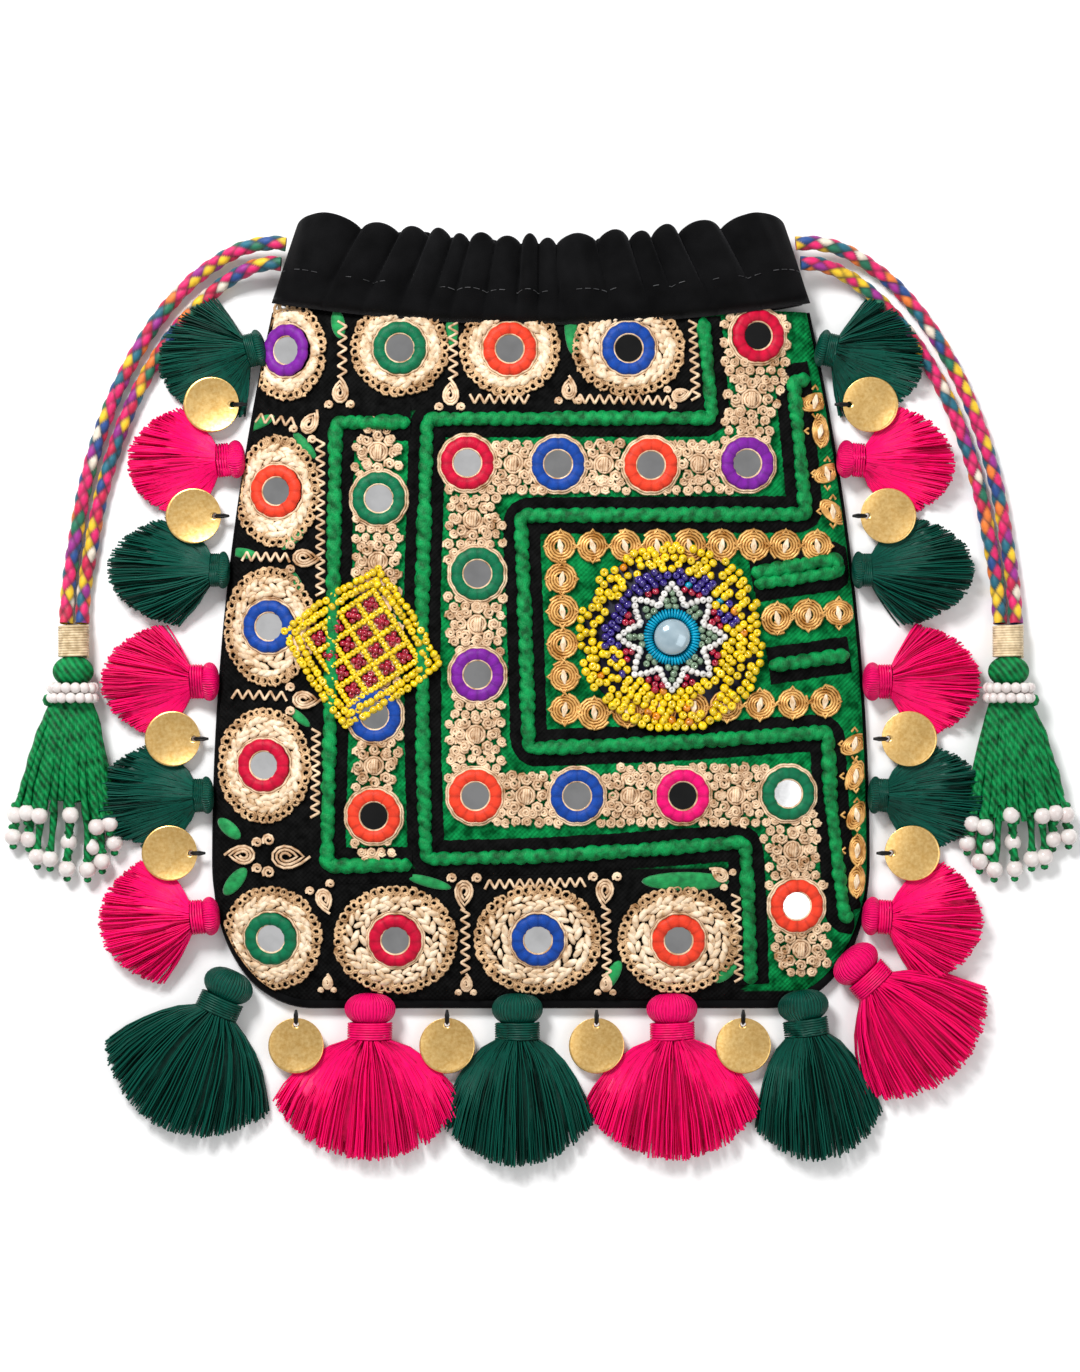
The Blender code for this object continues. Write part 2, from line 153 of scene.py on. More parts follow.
class Finish:
    """A material under way, round its Principled shader."""

    def __init__(self, name, **settings):
        self.material = bpy.data.materials.new(name)
        self.material.use_nodes = True
        self.tree = self.material.node_tree
        self.shader = self.tree.nodes["Principled BSDF"]
        for setting, value in settings.items():
            self.set(setting.replace("_", " "), value)

    def feed(self, socket, value):
        if isinstance(value, Value):
            self.tree.links.new(value.socket, socket)
        elif isinstance(value, tuple) and socket.type == "RGBA":
            socket.default_value = (*value, 1)
        else:
            socket.default_value = value

    def set(self, name, value):
        self.feed(self.shader.inputs[name], value)

    def node(self, kind, settings=None, inputs=None, output=0):
        made = self.tree.nodes.new(kind)
        for key, value in (settings or {}).items():
            if key == "stops":
                self.stops(made.color_ramp, value)
            else:
                setattr(made, key, value)
        for key, value in (inputs or {}).items():
            self.feed(made.inputs[key], value)
        return Value(self, made.outputs[output])

    def stops(self, ramp, stops):
        while len(ramp.elements) < len(stops):
            ramp.elements.new(1)
        for element, (place, colour) in zip(ramp.elements, stops):
            element.position = place
            element.color = (*colour, 1)

    def coords(self, stretch=(1, 1, 1)):
        place = self.node("ShaderNodeTexCoord", output="Object")
        return self.node("ShaderNodeMapping", None, {"Vector": place, "Scale": stretch})

    def uv(self, stretch=(1, 1, 1)):
        place = self.node("ShaderNodeTexCoord", output="UV")
        return self.node("ShaderNodeMapping", None, {"Vector": place, "Scale": stretch})

    def noise(self, scale, detail=2, vector=None):
        vector = vector or self.coords()
        return self.node("ShaderNodeTexNoise", None,
                         {"Vector": vector, "Scale": scale, "Detail": detail})

    def attribute(self, name, output="Fac"):
        return self.node("ShaderNodeAttribute", {"attribute_name": name}, None, output)

    def ramp(self, value, *stops):
        return self.node("ShaderNodeValToRGB", {"stops": stops}, {"Fac": value}, "Color")

    def mix(self, factor, first, second, blend="MIX"):
        settings = {"data_type": "RGBA", "blend_type": blend}
        return self.node("ShaderNodeMix", settings, {0: factor, 6: first, 7: second}, 2)

    def spread(self, value, low, high):
        """Maps a value from 0 to 1 to the stretch from low to high."""
        return value * (high - low) + low

    def bump(self, height, distance, strength=1.0):
        normal = self.node("ShaderNodeBump", None,
                           {"Height": height, "Distance": distance, "Strength": strength})
        self.set("Normal", normal)


def floor_finish():
    finish = Finish("floor paper", Roughness=0.9)
    finish.set("Base Color", finish.ramp(finish.noise(3), (0, (0.90, 0.90, 0.90)),
                                         (1, (0.93, 0.93, 0.93))))
    return finish.material


def velvet_finish(name="black velvet"):
    finish = Finish(name, Roughness=0.9, Sheen_Weight=0.06, Sheen_Roughness=0.4,
                    Sheen_Tint=(0.8, 0.8, 0.85), Specular_IOR_Level=0.08)
    nap = finish.noise(90, 3)
    finish.set("Base Color", finish.ramp(nap, (0.3, (0.0012, 0.0012, 0.0014)),
                                         (0.75, (0.005, 0.005, 0.0055))))
    finish.bump(finish.noise(2600, 2), 0.0002, 0.6)
    return finish.material


def thread_finish(name, dark, light, roughness=0.5, sheen=0.0, grain=(1400, 220, 1400)):
    """Spun thread: its colour wanders, and fine ply ridges run along it."""
    finish = Finish(name, Roughness=roughness, Sheen_Weight=sheen, Specular_IOR_Level=0.22)
    tone = finish.noise(420, 3) * 0.65 + finish.noise(60, 2) * 0.35
    finish.set("Base Color", finish.ramp(tone, (0.34, dark), (0.64, light)))
    finish.bump(finish.noise(1, 2, finish.coords(grain)), 0.00025, 0.5)
    return finish.material


def silk_finish(name, dark, light):
    """Tassel thread: satin strands, some in shade; heads have threads drawn down over them."""
    finish = Finish(name, Roughness=0.45, Specular_IOR_Level=0.16)
    tone = finish.attribute("strand") * 0.75 + finish.noise(120, 2) * 0.25
    finish.set("Base Color", finish.ramp(tone, (0.08, dark), (0.7, light)))
    finish.bump(finish.noise(2500, 1), 0.0001, 0.4)
    return finish.material


def head_finish(name, dark, light):
    """The tassel head: its threads run from the top down, round the ball."""
    finish = Finish(name, Roughness=0.42, Specular_IOR_Level=0.2)
    around = finish.attribute("around", "Vector")
    across = finish.node("ShaderNodeSeparateXYZ", None, {0: around}, "X")
    along = finish.node("ShaderNodeSeparateXYZ", None, {0: around}, "Y")
    threads_round = (across.math("ARCTAN2", along) * 46 + finish.noise(300, 1) * 3).sine()
    # threads_round in the colour is painted light and shade: lighter on each thread's crest, darker
    # between threads
    tone = finish.noise(500, 2) * 0.5 + threads_round * 0.12 + 0.28
    finish.set("Base Color", finish.ramp(tone, (0.15, dark), (0.6, light)))
    finish.bump(threads_round, 0.00035, 0.8)
    return finish.material


def yarn_finish():
    """Plied cotton: slanting ridges along each yarn, with a painted highlight where it stands proud."""
    finish = Finish("leaf green yarn", Roughness=0.55, Specular_IOR_Level=0.2)
    place = finish.coords((2500, 1900, 0))
    across = finish.node("ShaderNodeSeparateXYZ", None, {0: place}, "X")
    along = finish.node("ShaderNodeSeparateXYZ", None, {0: place}, "Y")
    ply = (across + along).sine()
    # ply in the colour is painted light: lighter on the ridges, darker between them
    tone = finish.noise(300, 3) * 0.7 + ply * 0.12 + 0.15
    finish.set("Base Color", finish.ramp(tone, (0.3, (0.0, 0.045, 0.010)), (0.68, (0.0, 0.26, 0.065))))
    finish.bump(ply * 0.6 + finish.noise(2400, 1), 0.0003, 0.7)
    return finish.material


def tinted_finish(name, roughness, coat=0.0, grain=0.0, **settings):
    """A finish whose colour is the piece's own tint attribute."""
    finish = Finish(name, Roughness=roughness, **settings)
    tint = finish.attribute("tint", "Color")
    tone = finish.noise(420, 2)
    shade = finish.ramp(tone, (0.25, (0.66, 0.66, 0.66)), (0.7, (1.0, 1.0, 1.0)))
    finish.set("Base Color", finish.mix(1.0, tint, shade, "MULTIPLY"))
    finish.set("Coat Weight", coat)
    if grain:
        finish.bump(finish.noise(grain, 2), 0.0002, 0.5)
    return finish.material


def ground_finish():
    """Leaf green cloth with the black appliqué laid in by its own attribute."""
    finish = Finish("embroidery ground", Roughness=0.95, Specular_IOR_Level=0.05)
    black = finish.attribute("black")
    weave_x = finish.coords((3800, 0, 0))
    weave_y = finish.coords((0, 3800, 0))
    across = finish.node("ShaderNodeSeparateXYZ", None, {0: weave_x}, "X").sine()
    along = finish.node("ShaderNodeSeparateXYZ", None, {0: weave_y}, "Y").sine()
    green = finish.ramp(finish.noise(260, 4), (0.34, (0.0, 0.055, 0.012)),
                        (0.66, (0.004, 0.25, 0.062)))
    dark = finish.ramp(finish.noise(300, 3), (0.3, (0.0015, 0.0015, 0.0015)),
                       (0.75, (0.007, 0.007, 0.007)))
    finish.set("Base Color", finish.mix(black, green, dark))
    finish.bump(across * along * 0.5 + finish.noise(700, 3), 0.0004, 0.8)
    return finish.material


def mirror_finish():
    """Silvered glass, its silver worn a little darker in places; its tint is a painted reflection, each
    glass painted lit, grey or dark.
    """
    finish = Finish("mirror glass", Metallic=1.0, Roughness=0.06)
    # tint: the glass's painted reflection, lit, grey or dark
    tint = finish.attribute("tint", "Color")
    wear = finish.ramp(finish.noise(150, 3), (0.2, (0.8, 0.8, 0.8)), (0.6, (1, 1, 1)))
    finish.set("Base Color", finish.mix(1.0, tint, wear, "MULTIPLY"))
    finish.set("Roughness", finish.spread(finish.noise(500, 2), 0.03, 0.12))
    return finish.material


def brass_finish():
    """Satin brass with a fine grain and uneven roughness."""
    finish = Finish("satin brass", Metallic=1.0, Roughness=0.34)
    brush = finish.noise(1, 3, finish.coords((900, 900, 900)))
    finish.set("Base Color", finish.ramp(brush, (0.3, (0.74, 0.44, 0.13)),
                                         (0.7, (0.93, 0.64, 0.26))))
    finish.set("Roughness", finish.spread(finish.noise(220, 3), 0.26, 0.42))
    finish.bump(brush, 0.00006, 0.4)
    return finish.material


def pearl_finish(name="pearl"):
    finish = Finish(name, Roughness=0.25, Coat_Roughness=0.08, Specular_IOR_Level=0.5)
    cloud = finish.noise(260, 2)
    finish.set("Base Color", finish.ramp(cloud, (0.3, (0.62, 0.53, 0.51)),
                                         (0.7, (0.74, 0.70, 0.67))))
    finish.set("Coat Weight", 0.6)
    finish.bump(finish.noise(800, 2), 0.00005, 0.5)
    return finish.material


def cabochon_finish():
    finish = Finish("blue pearl cabochon", Roughness=0.16, Metallic=0.25)
    cloud = finish.noise(160, 2)
    finish.set("Base Color", finish.ramp(cloud, (0.3, (0.26, 0.36, 0.42)),
                                         (0.7, (0.42, 0.53, 0.59))))
    finish.set("Coat Weight", 0.8)
    return finish.material


# ---------------------------------------------------------------- making pieces


def new_object(name, source, finish, smooth=True):
    """An object from a bmesh or a mesh, with one finish."""
    if isinstance(source, bmesh.types.BMesh):
        mesh = bpy.data.meshes.new(name)
        source.to_mesh(mesh)
        source.free()
    else:
        mesh = source
        mesh.name = name
    mesh.materials.clear()
    mesh.materials.append(finish)
    if smooth:
        mesh.shade_smooth()
    obj = bpy.data.objects.new(name, mesh)
    bpy.context.scene.collection.objects.link(obj)
    return obj


def piece(name, source, finish, body=BODY, replaces=(), smooth=True):
    obj = new_object(name, source, finish, smooth)
    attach(obj, body)
    if replaces:
        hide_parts(*replaces)
    return obj


def points_of(mesh):
    flat = np.empty(len(mesh.vertices) * 3)
    mesh.vertices.foreach_get("co", flat)
    return flat.reshape(-1, 3)


def set_points(mesh, points):
    mesh.vertices.foreach_set("co", np.asarray(points, np.float32).ravel())
    mesh.update()


def sheet_mesh(name, columns, rows, shape, close_rows=False):
    """A grid of columns by rows bent to shape(u, v), where u and v run from 0 to 1.

    With close_rows its first and last rows meet, and shape has to give them one place."""
    bm = bmesh.new()
    bmesh.ops.create_grid(bm, x_segments=columns, y_segments=rows, size=0.5)
    mesh = bpy.data.meshes.new(name)
    bm.to_mesh(mesh)
    bm.free()
    flat = points_of(mesh)
    set_points(mesh, shape(flat[:, 0] + 0.5, flat[:, 1] + 0.5))
    bm = bmesh.new()
    bm.from_mesh(mesh)
    if close_rows:
        bmesh.ops.remove_doubles(bm, verts=bm.verts, dist=1e-6)
    bmesh.ops.recalc_face_normals(bm, faces=bm.faces)
    bm.to_mesh(mesh)
    bm.free()
    return mesh


def three_sided(radius):
    """The cross-section of a fine strand."""
    curve = bpy.data.curves.new("strand section", "CURVE")
    curve.dimensions = "2D"
    spline = curve.splines.new("POLY")
    spline.points.add(2)
    for number, point in enumerate(spline.points):
        turn = math.radians(90 + 120 * number)
        point.co = (radius * math.cos(turn), radius * math.sin(turn), 0, 1)
    spline.use_cyclic_u = True
    section = bpy.data.objects.new("strand section", curve)
    bpy.context.scene.collection.objects.link(section)
    return section


def threads(name, lines, radius, sides=0, thickness=None):
    """One mesh of many threads: a curve with a spline for each line of points.

    With sides of -1 each thread is three-sided, for the finest strands."""
    curve = bpy.data.curves.new(name, "CURVE")
    curve.dimensions = "3D"
    curve.bevel_depth = radius
    curve.bevel_resolution = max(sides, 0)
    curve.use_fill_caps = True
    profile = three_sided(radius) if sides < 0 else None
    if profile:
        curve.bevel_mode = "OBJECT"
        curve.bevel_object = profile
    for number, line in enumerate(lines):
        spline = curve.splines.new("POLY")
        spline.points.add(len(line) - 1)
        knots = np.ones((len(line), 4), np.float32)
        knots[:, :3] = line
        spline.points.foreach_set("co", knots.ravel())
        if thickness is not None:
            spline.points.foreach_set("radius", np.asarray(thickness[number], np.float32))
    obj = bpy.data.objects.new(name, curve)
    bpy.context.scene.collection.objects.link(obj)
    graph = bpy.context.evaluated_depsgraph_get()
    mesh = bpy.data.meshes.new_from_object(obj.evaluated_get(graph), depsgraph=graph)
    bpy.data.objects.remove(obj)
    bpy.data.curves.remove(curve)
    if profile:
        bpy.data.curves.remove(profile.data)
    return mesh


def copies(name, template, places):
    """One mesh that holds a copy of the template mesh at each matrix."""
    count = len(template.vertices)
    bm = bmesh.new()
    for _ in places:
        bm.from_mesh(template)
    mesh = bpy.data.meshes.new(name)
    bm.to_mesh(mesh)
    bm.free()
    base = np.c_[points_of(template), np.ones(count)]
    stack = np.array([np.array(place) for place in places])
    set_points(mesh, np.einsum("nij,vj->nvi", stack, base)[:, :, :3].reshape(-1, 3))
    return mesh


def tint(mesh, colours, each=None):
    """Gives each vertex, or each run of that many vertices, its own colour."""
    colours = np.atleast_2d(np.asarray(colours, float))
    if each:
        colours = np.repeat(colours, each, axis=0)
    if len(colours) == 1:
        colours = np.repeat(colours, len(mesh.vertices), axis=0)
    layer = mesh.color_attributes.new("tint", "FLOAT_COLOR", "POINT")
    rgba = np.c_[colours, np.ones(len(colours))]
    layer.data.foreach_set("color", rgba.astype(np.float32).ravel())
    return mesh


def shade(mesh, values, name="strand"):
    layer = mesh.attributes.new(name, "FLOAT", "POINT")
    layer.data.foreach_set("value", np.asarray(values, np.float32))
    return mesh


def placed(x, y, z, turn=0.0, scale=(1, 1, 1)):
    return (Matrix.Translation((x, y, z)) @ Matrix.Rotation(turn, 4, "Z")
            @ Matrix.Diagonal((*scale, 1)))


def joined(name, meshes):
    bm = bmesh.new()
    for mesh in meshes:
        bm.from_mesh(mesh)
    made = bpy.data.meshes.new(name)
    bm.to_mesh(made)
    bm.free()
    return made


def template(make):
    bm = bmesh.new()
    make(bm)
    mesh = bpy.data.meshes.new("template")
    bm.to_mesh(mesh)
    bm.free()
    return mesh


def ball(segments=10, rings=6):
    return template(lambda bm: bmesh.ops.create_uvsphere(
        bm, u_segments=segments, v_segments=rings, radius=1))


def ring_bead(bm, inner=0.54, thick=0.48):
    """A small round bead with its hole along Z, of outer radius about 1."""
    made = bmesh.ops.create_circle(bm, segments=6, radius=thick)["verts"]
    bmesh.ops.rotate(bm, verts=made, matrix=Matrix.Rotation(math.radians(90), 3, "X"))
    bmesh.ops.scale(bm, verts=made, vec=(1, 1, 1.6))
    bmesh.ops.translate(bm, verts=made, vec=(inner, 0, 0))
    bmesh.ops.spin(bm, geom=bm.verts[:] + bm.edges[:], cent=(0, 0, 0), axis=(0, 0, 1),
                   angle=math.radians(360), steps=9, use_merge=True)
    bmesh.ops.recalc_face_normals(bm, faces=bm.faces)


# ---------------------------------------------------------------- the skin of the front panel


def half_width(y):
    y = np.asarray(y, float)
    share = np.clip((SEAM_TOP_Y - y) / (SEAM_TOP_Y - WIDEST_Y), 0, 1)
    bowed = TOP_HALF + (WIDE_HALF - TOP_HALF) * (1 - (1 - share) ** 2)
    low = np.clip((WIDEST_Y - y) / (WIDEST_Y - BOTTOM_Y), 0, 1)
    rounded = FLAT_HALF + (WIDE_HALF - FLAT_HALF) * np.sqrt(1 - low * low)
    return np.where(y >= WIDEST_Y, bowed, rounded)


def skin(x, y):
    """Height of the front panel's outer face."""
    x, y = np.asarray(x, float), np.asarray(y, float)
    across = 1 - np.clip(np.abs(x) / half_width(y), 0, 1) ** SIDE_FALL
    fall = np.clip(-y / -BOTTOM_Y, 0, 1)
    return SEAM_Z + CROWN * np.clip(across * (1 - fall**SIDE_FALL), 0, 1) ** CROWN_POWER


def lay(mesh, lift=0.0, past_edge=-0.0004):
    """Sets flat work on the skin: its z becomes a height above the cloth."""
    points = points_of(mesh)
    edge = half_width(points[:, 1]) + past_edge
    points[:, 0] = np.clip(points[:, 0], -edge, edge)
    points[:, 1] = np.maximum(points[:, 1], BOTTOM_Y + 0.0006)
    points[:, 2] += skin(points[:, 0], points[:, 1]) + lift
    set_points(mesh, points)
    return mesh


def dense(route, step=0.0005):
    """Points a step apart along a polyline."""
    route = np.asarray(route, float)
    lengths = np.r_[0, np.cumsum(np.linalg.norm(np.diff(route, axis=0), axis=1))]
    wanted = np.linspace(0, lengths[-1], max(2, int(lengths[-1] / step)))
    return np.stack([np.interp(wanted, lengths, route[:, i]) for i in range(route.shape[1])], 1)


def rounded_route(route, radius):
    """The polyline with its corners taken off."""
    route = [np.asarray(p, float) for p in route]
    made = [route[0]]
    for before, corner, after in zip(route, route[1:], route[2:]):
        back = before - corner
        on = after - corner
        cut = min(radius, np.linalg.norm(back) / 2.2, np.linalg.norm(on) / 2.2)
        start = corner + back / np.linalg.norm(back) * cut
        end = corner + on / np.linalg.norm(on) * cut
        for t in np.linspace(0, 1, 5):
            made.append((1 - t) ** 2 * start + 2 * t * (1 - t) * corner + t * t * end)
    made.append(route[-1])
    return np.array(made)


def away_from(points, route):
    """Distance of each point from the polyline."""
    line = dense(route, 0.001)
    return np.sqrt(((points[:, None, :2] - line[None, :, :2]) ** 2).sum(2)).min(1)


# ---------------------------------------------------------------- the layout of the embroidery, in mm

BRAIDS = (
    ((-44, 89.6), (-69.4, 89.6), (-70.2, 30), (-71.7, -28), (-72.4, -60.4), (-43.5, -60)),
    ((54.7, 125), (56.1, 111.4), (57.8, 91), (-38.4, 90.6), (-40.1, 30), (-39.8, -24.7),
     (-38.8, -58), (0, -57), (33.7, -54.9), (69, -52.2), (70.4, -75.7), (71.4, -101)),
    ((91.6, 104.9), (85.7, 103.9), (87.4, 84.2), (89.8, 58.7), (40.5, 58.3), (-6.8, 58),
     (-5.1, 16.2), (-4.1, -20.6), (47.3, -18.5), (97.2, -15.1), (98.3, -38.3),
     (100.3, -55.3), (103.2, -78), (106.5, -77.6)),
    ((71, 38.6), (86, 41), (100.6, 43.6), (101, 39.4), (86, 37), (72, 35)),
    ((77, 7.2), (92, 9.4), (105, 11.2)),
)
BRAID_HALF = 0.0024
BLACK_REACH = 0.0066

COIL_BANDS = (
    (((73.4, 124), (73.4, 108)), 12.5),
    (((73, 112), (71, 97.8), (69.7, 75.7)), 9.6),
    (((69.7, 75.7), (-24.8, 75.7), (-22.4, 57), (-21.4, 4.3), (-22.1, -36.6), (84, -36.2),
      (86.7, -74), (89, -90)), 10.2),
    (((-55.4, 83), (-54.7, 63.8), (-56.1, -9.4), (-56.4, -51.5)), 8.8),
)
ROSES = ((71.4, 97.5), (53.4, 75.4), (21.4, 75.2), (-9.4, 75.5), (-23, 56.8), (-21.4, 21.3),
         (-21.8, -16), (-5, -36.6), (30, -36.6), (65.8, -36.4), (85.4, -55), (88.4, -89),
         (-54.9, 42.5), (-56.2, -26.6), (-55, 79.5))

RED, BLUE, ORANGE = (0.62, 0.0, 0.035), (0.005, 0.06, 0.36), (0.90, 0.055, 0.02)
GREEN, PURPLE, PINK = (0.0, 0.16, 0.065), (0.20, 0.012, 0.33), (0.85, 0.0, 0.16)
# painted reflections: how bright each mirror's glass is painted, lit, grey or dark
REFLECTION_LIT, REFLECTION_GREY, REFLECTION_DARK = 0.92, 0.42, 0.03

# x, y, thread, how bright its glass is painted: a painted reflection
BAND_MIRRORS = (
    (73.4, 119, RED, REFLECTION_DARK), (69.7, 75.7, PURPLE, REFLECTION_GREY), (37.1, 75, ORANGE, REFLECTION_GREY),
    (5.8, 75.3, BLUE, REFLECTION_GREY), (-24.8, 75.7, RED, REFLECTION_LIT), (-21.4, 38.3, GREEN, REFLECTION_GREY),
    (-21.4, 4.3, PURPLE, REFLECTION_GREY), (-22.1, -36.6, ORANGE, REFLECTION_GREY), (12.2, -36.6, BLUE, REFLECTION_GREY),
    (47.9, -36.6, PINK, REFLECTION_DARK), (83.6, -35.9, GREEN, REFLECTION_LIT), (86.7, -74, ORANGE, REFLECTION_LIT),
    (-54.7, 63.8, GREEN, REFLECTION_LIT), (-56.1, -9.4, BLUE, REFLECTION_GREY), (-56.4, -43.4, ORANGE, REFLECTION_DARK),
)
# x, y, thread, glass (its painted reflection), half width and half height of the rosette round it
ROSETTES = (
    (-86.2, 114.3, PURPLE, REFLECTION_LIT, 13.5, 17.0), (-47.6, 114.6, GREEN, REFLECTION_GREY, 16.8, 16.2),
    (-10.5, 114.2, ORANGE, REFLECTION_GREY, 17.0, 16.0), (29.6, 114.4, BLUE, REFLECTION_DARK, 19.0, 16.2),
    (-89.6, 66.5, ORANGE, REFLECTION_GREY, 14.8, 19.0), (-92.0, 20.6, BLUE, REFLECTION_LIT, 16.0, 20.2),
    (-93.8, -26.4, RED, REFLECTION_LIT, 16.2, 19.6), (-91.6, -85.2, GREEN, REFLECTION_LIT, 17.2, 18.0),
    (-49.3, -85.6, RED, REFLECTION_GREY, 21.0, 18.6), (-1.0, -85.4, BLUE, REFLECTION_LIT, 21.6, 18.8),
    (46.6, -85.6, ORANGE, REFLECTION_GREY, 20.6, 18.4),
)
GLASS_RADIUS = 0.0050
RIM_RADIUS = 0.0086

GOLD_COILS = (
    [(6.6 + 10.9 * i, 47.6 + 0.05 * i, 1.0) for i in range(9)]
    + [(6.8 + 0.25 * i, 47.6 - 11 * i, 1.0) for i in range(1, 6)]
    + [(18 + 11.2 * i, -8.6 + 0.55 * i, 1.0) for i in range(8)]
    + [(80.0, 23.4, 1.05), (90.6, 24.4, 1.0), (101.2, 25.2, 0.82)]
)
EDGE_COILS = (97.1, 87.0, 72.7, 59.8, -19.2, -30.1, -43.3, -55.4, -66.0)

GOLD_COIL_RADIUS = 0.0054

# Teardrop coils: x, y, turn in degrees, size
TEARDROPS = (
    (-68, 99.6, 90, 1.0), (-30.6, 98.6, 90, 1.0), (-78.6, 89.2, 60, 1.0), (9.4, 100.2, 90, 0.9),
    (46.8, 98.8, 20, 0.8), (-80.4, 44, 0, 1.1), (-80.4, -4, 0, 1.1), (-86.4, -57.2, 0, 1.5),
    (-73.4, -71.4, -70, 1.0), (-25.8, -69, -90, 1.15), (21.8, -68.4, -90, 1.1), (60.8, -63.6, 150, 0.8),
    (-101, -57, 180, 1.2), (-72.6, -100.6, 90, 0.6), (-25.4, -101, 90, 0.7), (22, -101, 90, 0.7),
)
ZIGZAGS = (
    ((-74.6, 84), (-74.6, 31)), ((-76, -14), (-76.4, -44)), ((-29.6, 125), (-29.6, 104)),
    ((-67.2, 124), (-67.2, 105)), ((51.4, 124), (52.4, 97)), ((46, 96.8), (10, 97.4)),
    ((-4, 97.2), (-24, 97.4)), ((-97, 91.8), (-83, 89.8)), ((-101.6, 44.6), (-85, 44)),
    ((-105, -2.2), (-86, -3)), ((22, -74), (22.4, -98)), ((66, -70), (67.4, -100)),
    ((-19, -66.6), (15, -65.8)), ((-25.6, -75), (-25.6, -97)),
)
GREEN_PATCHES = (
    (-68.6, 123, 100, 5, 2.4), (-30, 121, 90, 6, 2.2), (10.4, 120, 95, 8, 2.4),
    (-96, 90, 20, 6, 2.0), (-80, 82, -50, 6, 1.8), (-101, 45.6, -10, 5, 1.8),
    (-84, 50, 40, 5, 1.6), (-83, 36, -60, 5, 1.6), (-82, -10, -40, 5, 1.6),
    (-106, -48, -40, 5, 2.4), (-104, -66, 50, 6, 2.6), (24, -98, 60, 6, 2.4),
    (49, -65.6, 0, 15, 3.2), (-38, -65.8, -15, 8, 1.8), (63, -97, 40, 5, 2.0),
)


# ---------------------------------------------------------------- drawcords

CORD_DIAMETER = 0.005
OUTER_ROUTE = (
    (-0.0866, 0.1507, 0.0090), (-0.0925, 0.1510, 0.0088), (-0.1020, 0.1492, 0.0068),
    (-0.1120, 0.1440, 0.0038), (-0.1225, 0.1355, 0.0026), (-0.1330, 0.1225, 0.0026),
    (-0.1425, 0.1060, 0.0026), (-0.1500, 0.0880, 0.0026), (-0.1555, 0.0690, 0.0026),
    (-0.1590, 0.0500, 0.0026), (-0.1613, 0.0340, 0.0027), (-0.16190, 0.0218, 0.0044),
)
INNER_ROUTE = (
    (-0.0883, 0.1440, 0.0090), (-0.0935, 0.1440, 0.0087), (-0.1005, 0.1420, 0.0068),
    (-0.1090, 0.1372, 0.0038), (-0.1182, 0.1293, 0.0026), (-0.1280, 0.1172, 0.0026),
    (-0.1372, 0.1018, 0.0026), (-0.1444, 0.0850, 0.0026), (-0.1498, 0.0668, 0.0026),
    (-0.1534, 0.0488, 0.0026), (-0.1558, 0.0338, 0.0027), (-0.15650, 0.0218, 0.0044),
)
BRAID_COLOURS = (
    (0.80, 0.0, 0.14), (0.95, 0.58, 0.01), (0.0, 0.13, 0.20), (0.0, 0.16, 0.08),
    (0.88, 0.20, 0.02), (0.62, 0.0, 0.06), (0.34, 0.01, 0.26), (0.005, 0.06, 0.26),
    (0.88, 0.76, 0.62),
)


BRAID_SHARES = (0.27, 0.15, 0.13, 0.06, 0.06, 0.12, 0.07, 0.10, 0.04)

def smooth_route(points, step):
    """Points a step apart on a smooth curve through the route's own points."""
    route = [np.array(p) for p in points]
    ends = [2 * route[0] - route[1]] + route + [2 * route[-1] - route[-2]]
    made = []
    for a, b, c, d in zip(ends, ends[1:], ends[2:], ends[3:]):
        for t in np.arange(24) / 24:
            made.append(0.5 * (2 * b + (c - a) * t + (2 * a - 5 * b + 4 * c - d) * t * t
                               + (3 * b - a - 3 * c + d) * t**3))
    made.append(route[-1])
    return dense(made, step)


def frames(line):
    """Side and up directions along a line that runs nearly flat."""
    along = np.gradient(line, axis=0)
    along /= np.linalg.norm(along, axis=1)[:, None]
    side = np.cross(along, (0, 0, 1))
    side /= np.linalg.norm(side, axis=1)[:, None]
    return along, side, np.cross(side, along)


def braided_cord(name, line, node, seed):
    """A round braid, whose strands stand proud of the gaps between them."""
    strands, pitch = 3, 0.0098
    rows = 28
    length = np.linalg.norm(np.diff(line, axis=0), axis=1).sum()
    columns = int(length / 0.00068)
    walk = dense(line, length / columns)
    _, side, up = frames(walk)
    steps = np.arange(len(walk))

    def shape(u, v):
        at = u * (len(walk) - 1)
        whole = [np.interp(at, steps, walk[:, i]) for i in range(3)]
        sides = [np.interp(at, steps, side[:, i]) for i in range(3)]
        ups = [np.interp(at, steps, up[:, i]) for i in range(3)]
        turn = 2 * math.pi * (v % 1.0)
        first, second = braid_phases(u, v, length, strands, pitch)
        lump = np.abs(np.sin(math.pi * first) * np.sin(math.pi * second)) ** 0.5
        radius = CORD_DIAMETER / 2 * (0.78 + 0.26 * lump)
        return np.stack([whole[i] + radius * (np.cos(turn) * sides[i] + np.sin(turn) * ups[i])
                         for i in range(3)], 1)

    mesh = sheet_mesh(name, columns, rows, shape, close_rows=True)
    paint_braid(mesh, walk, side, up, length, strands, pitch, seed)
    return mesh


def braid_phases(u, v, length, strands, pitch):
    turn = strands * (v % 1.0)
    run = strands * u * length / pitch / 2
    return turn + run, turn - run


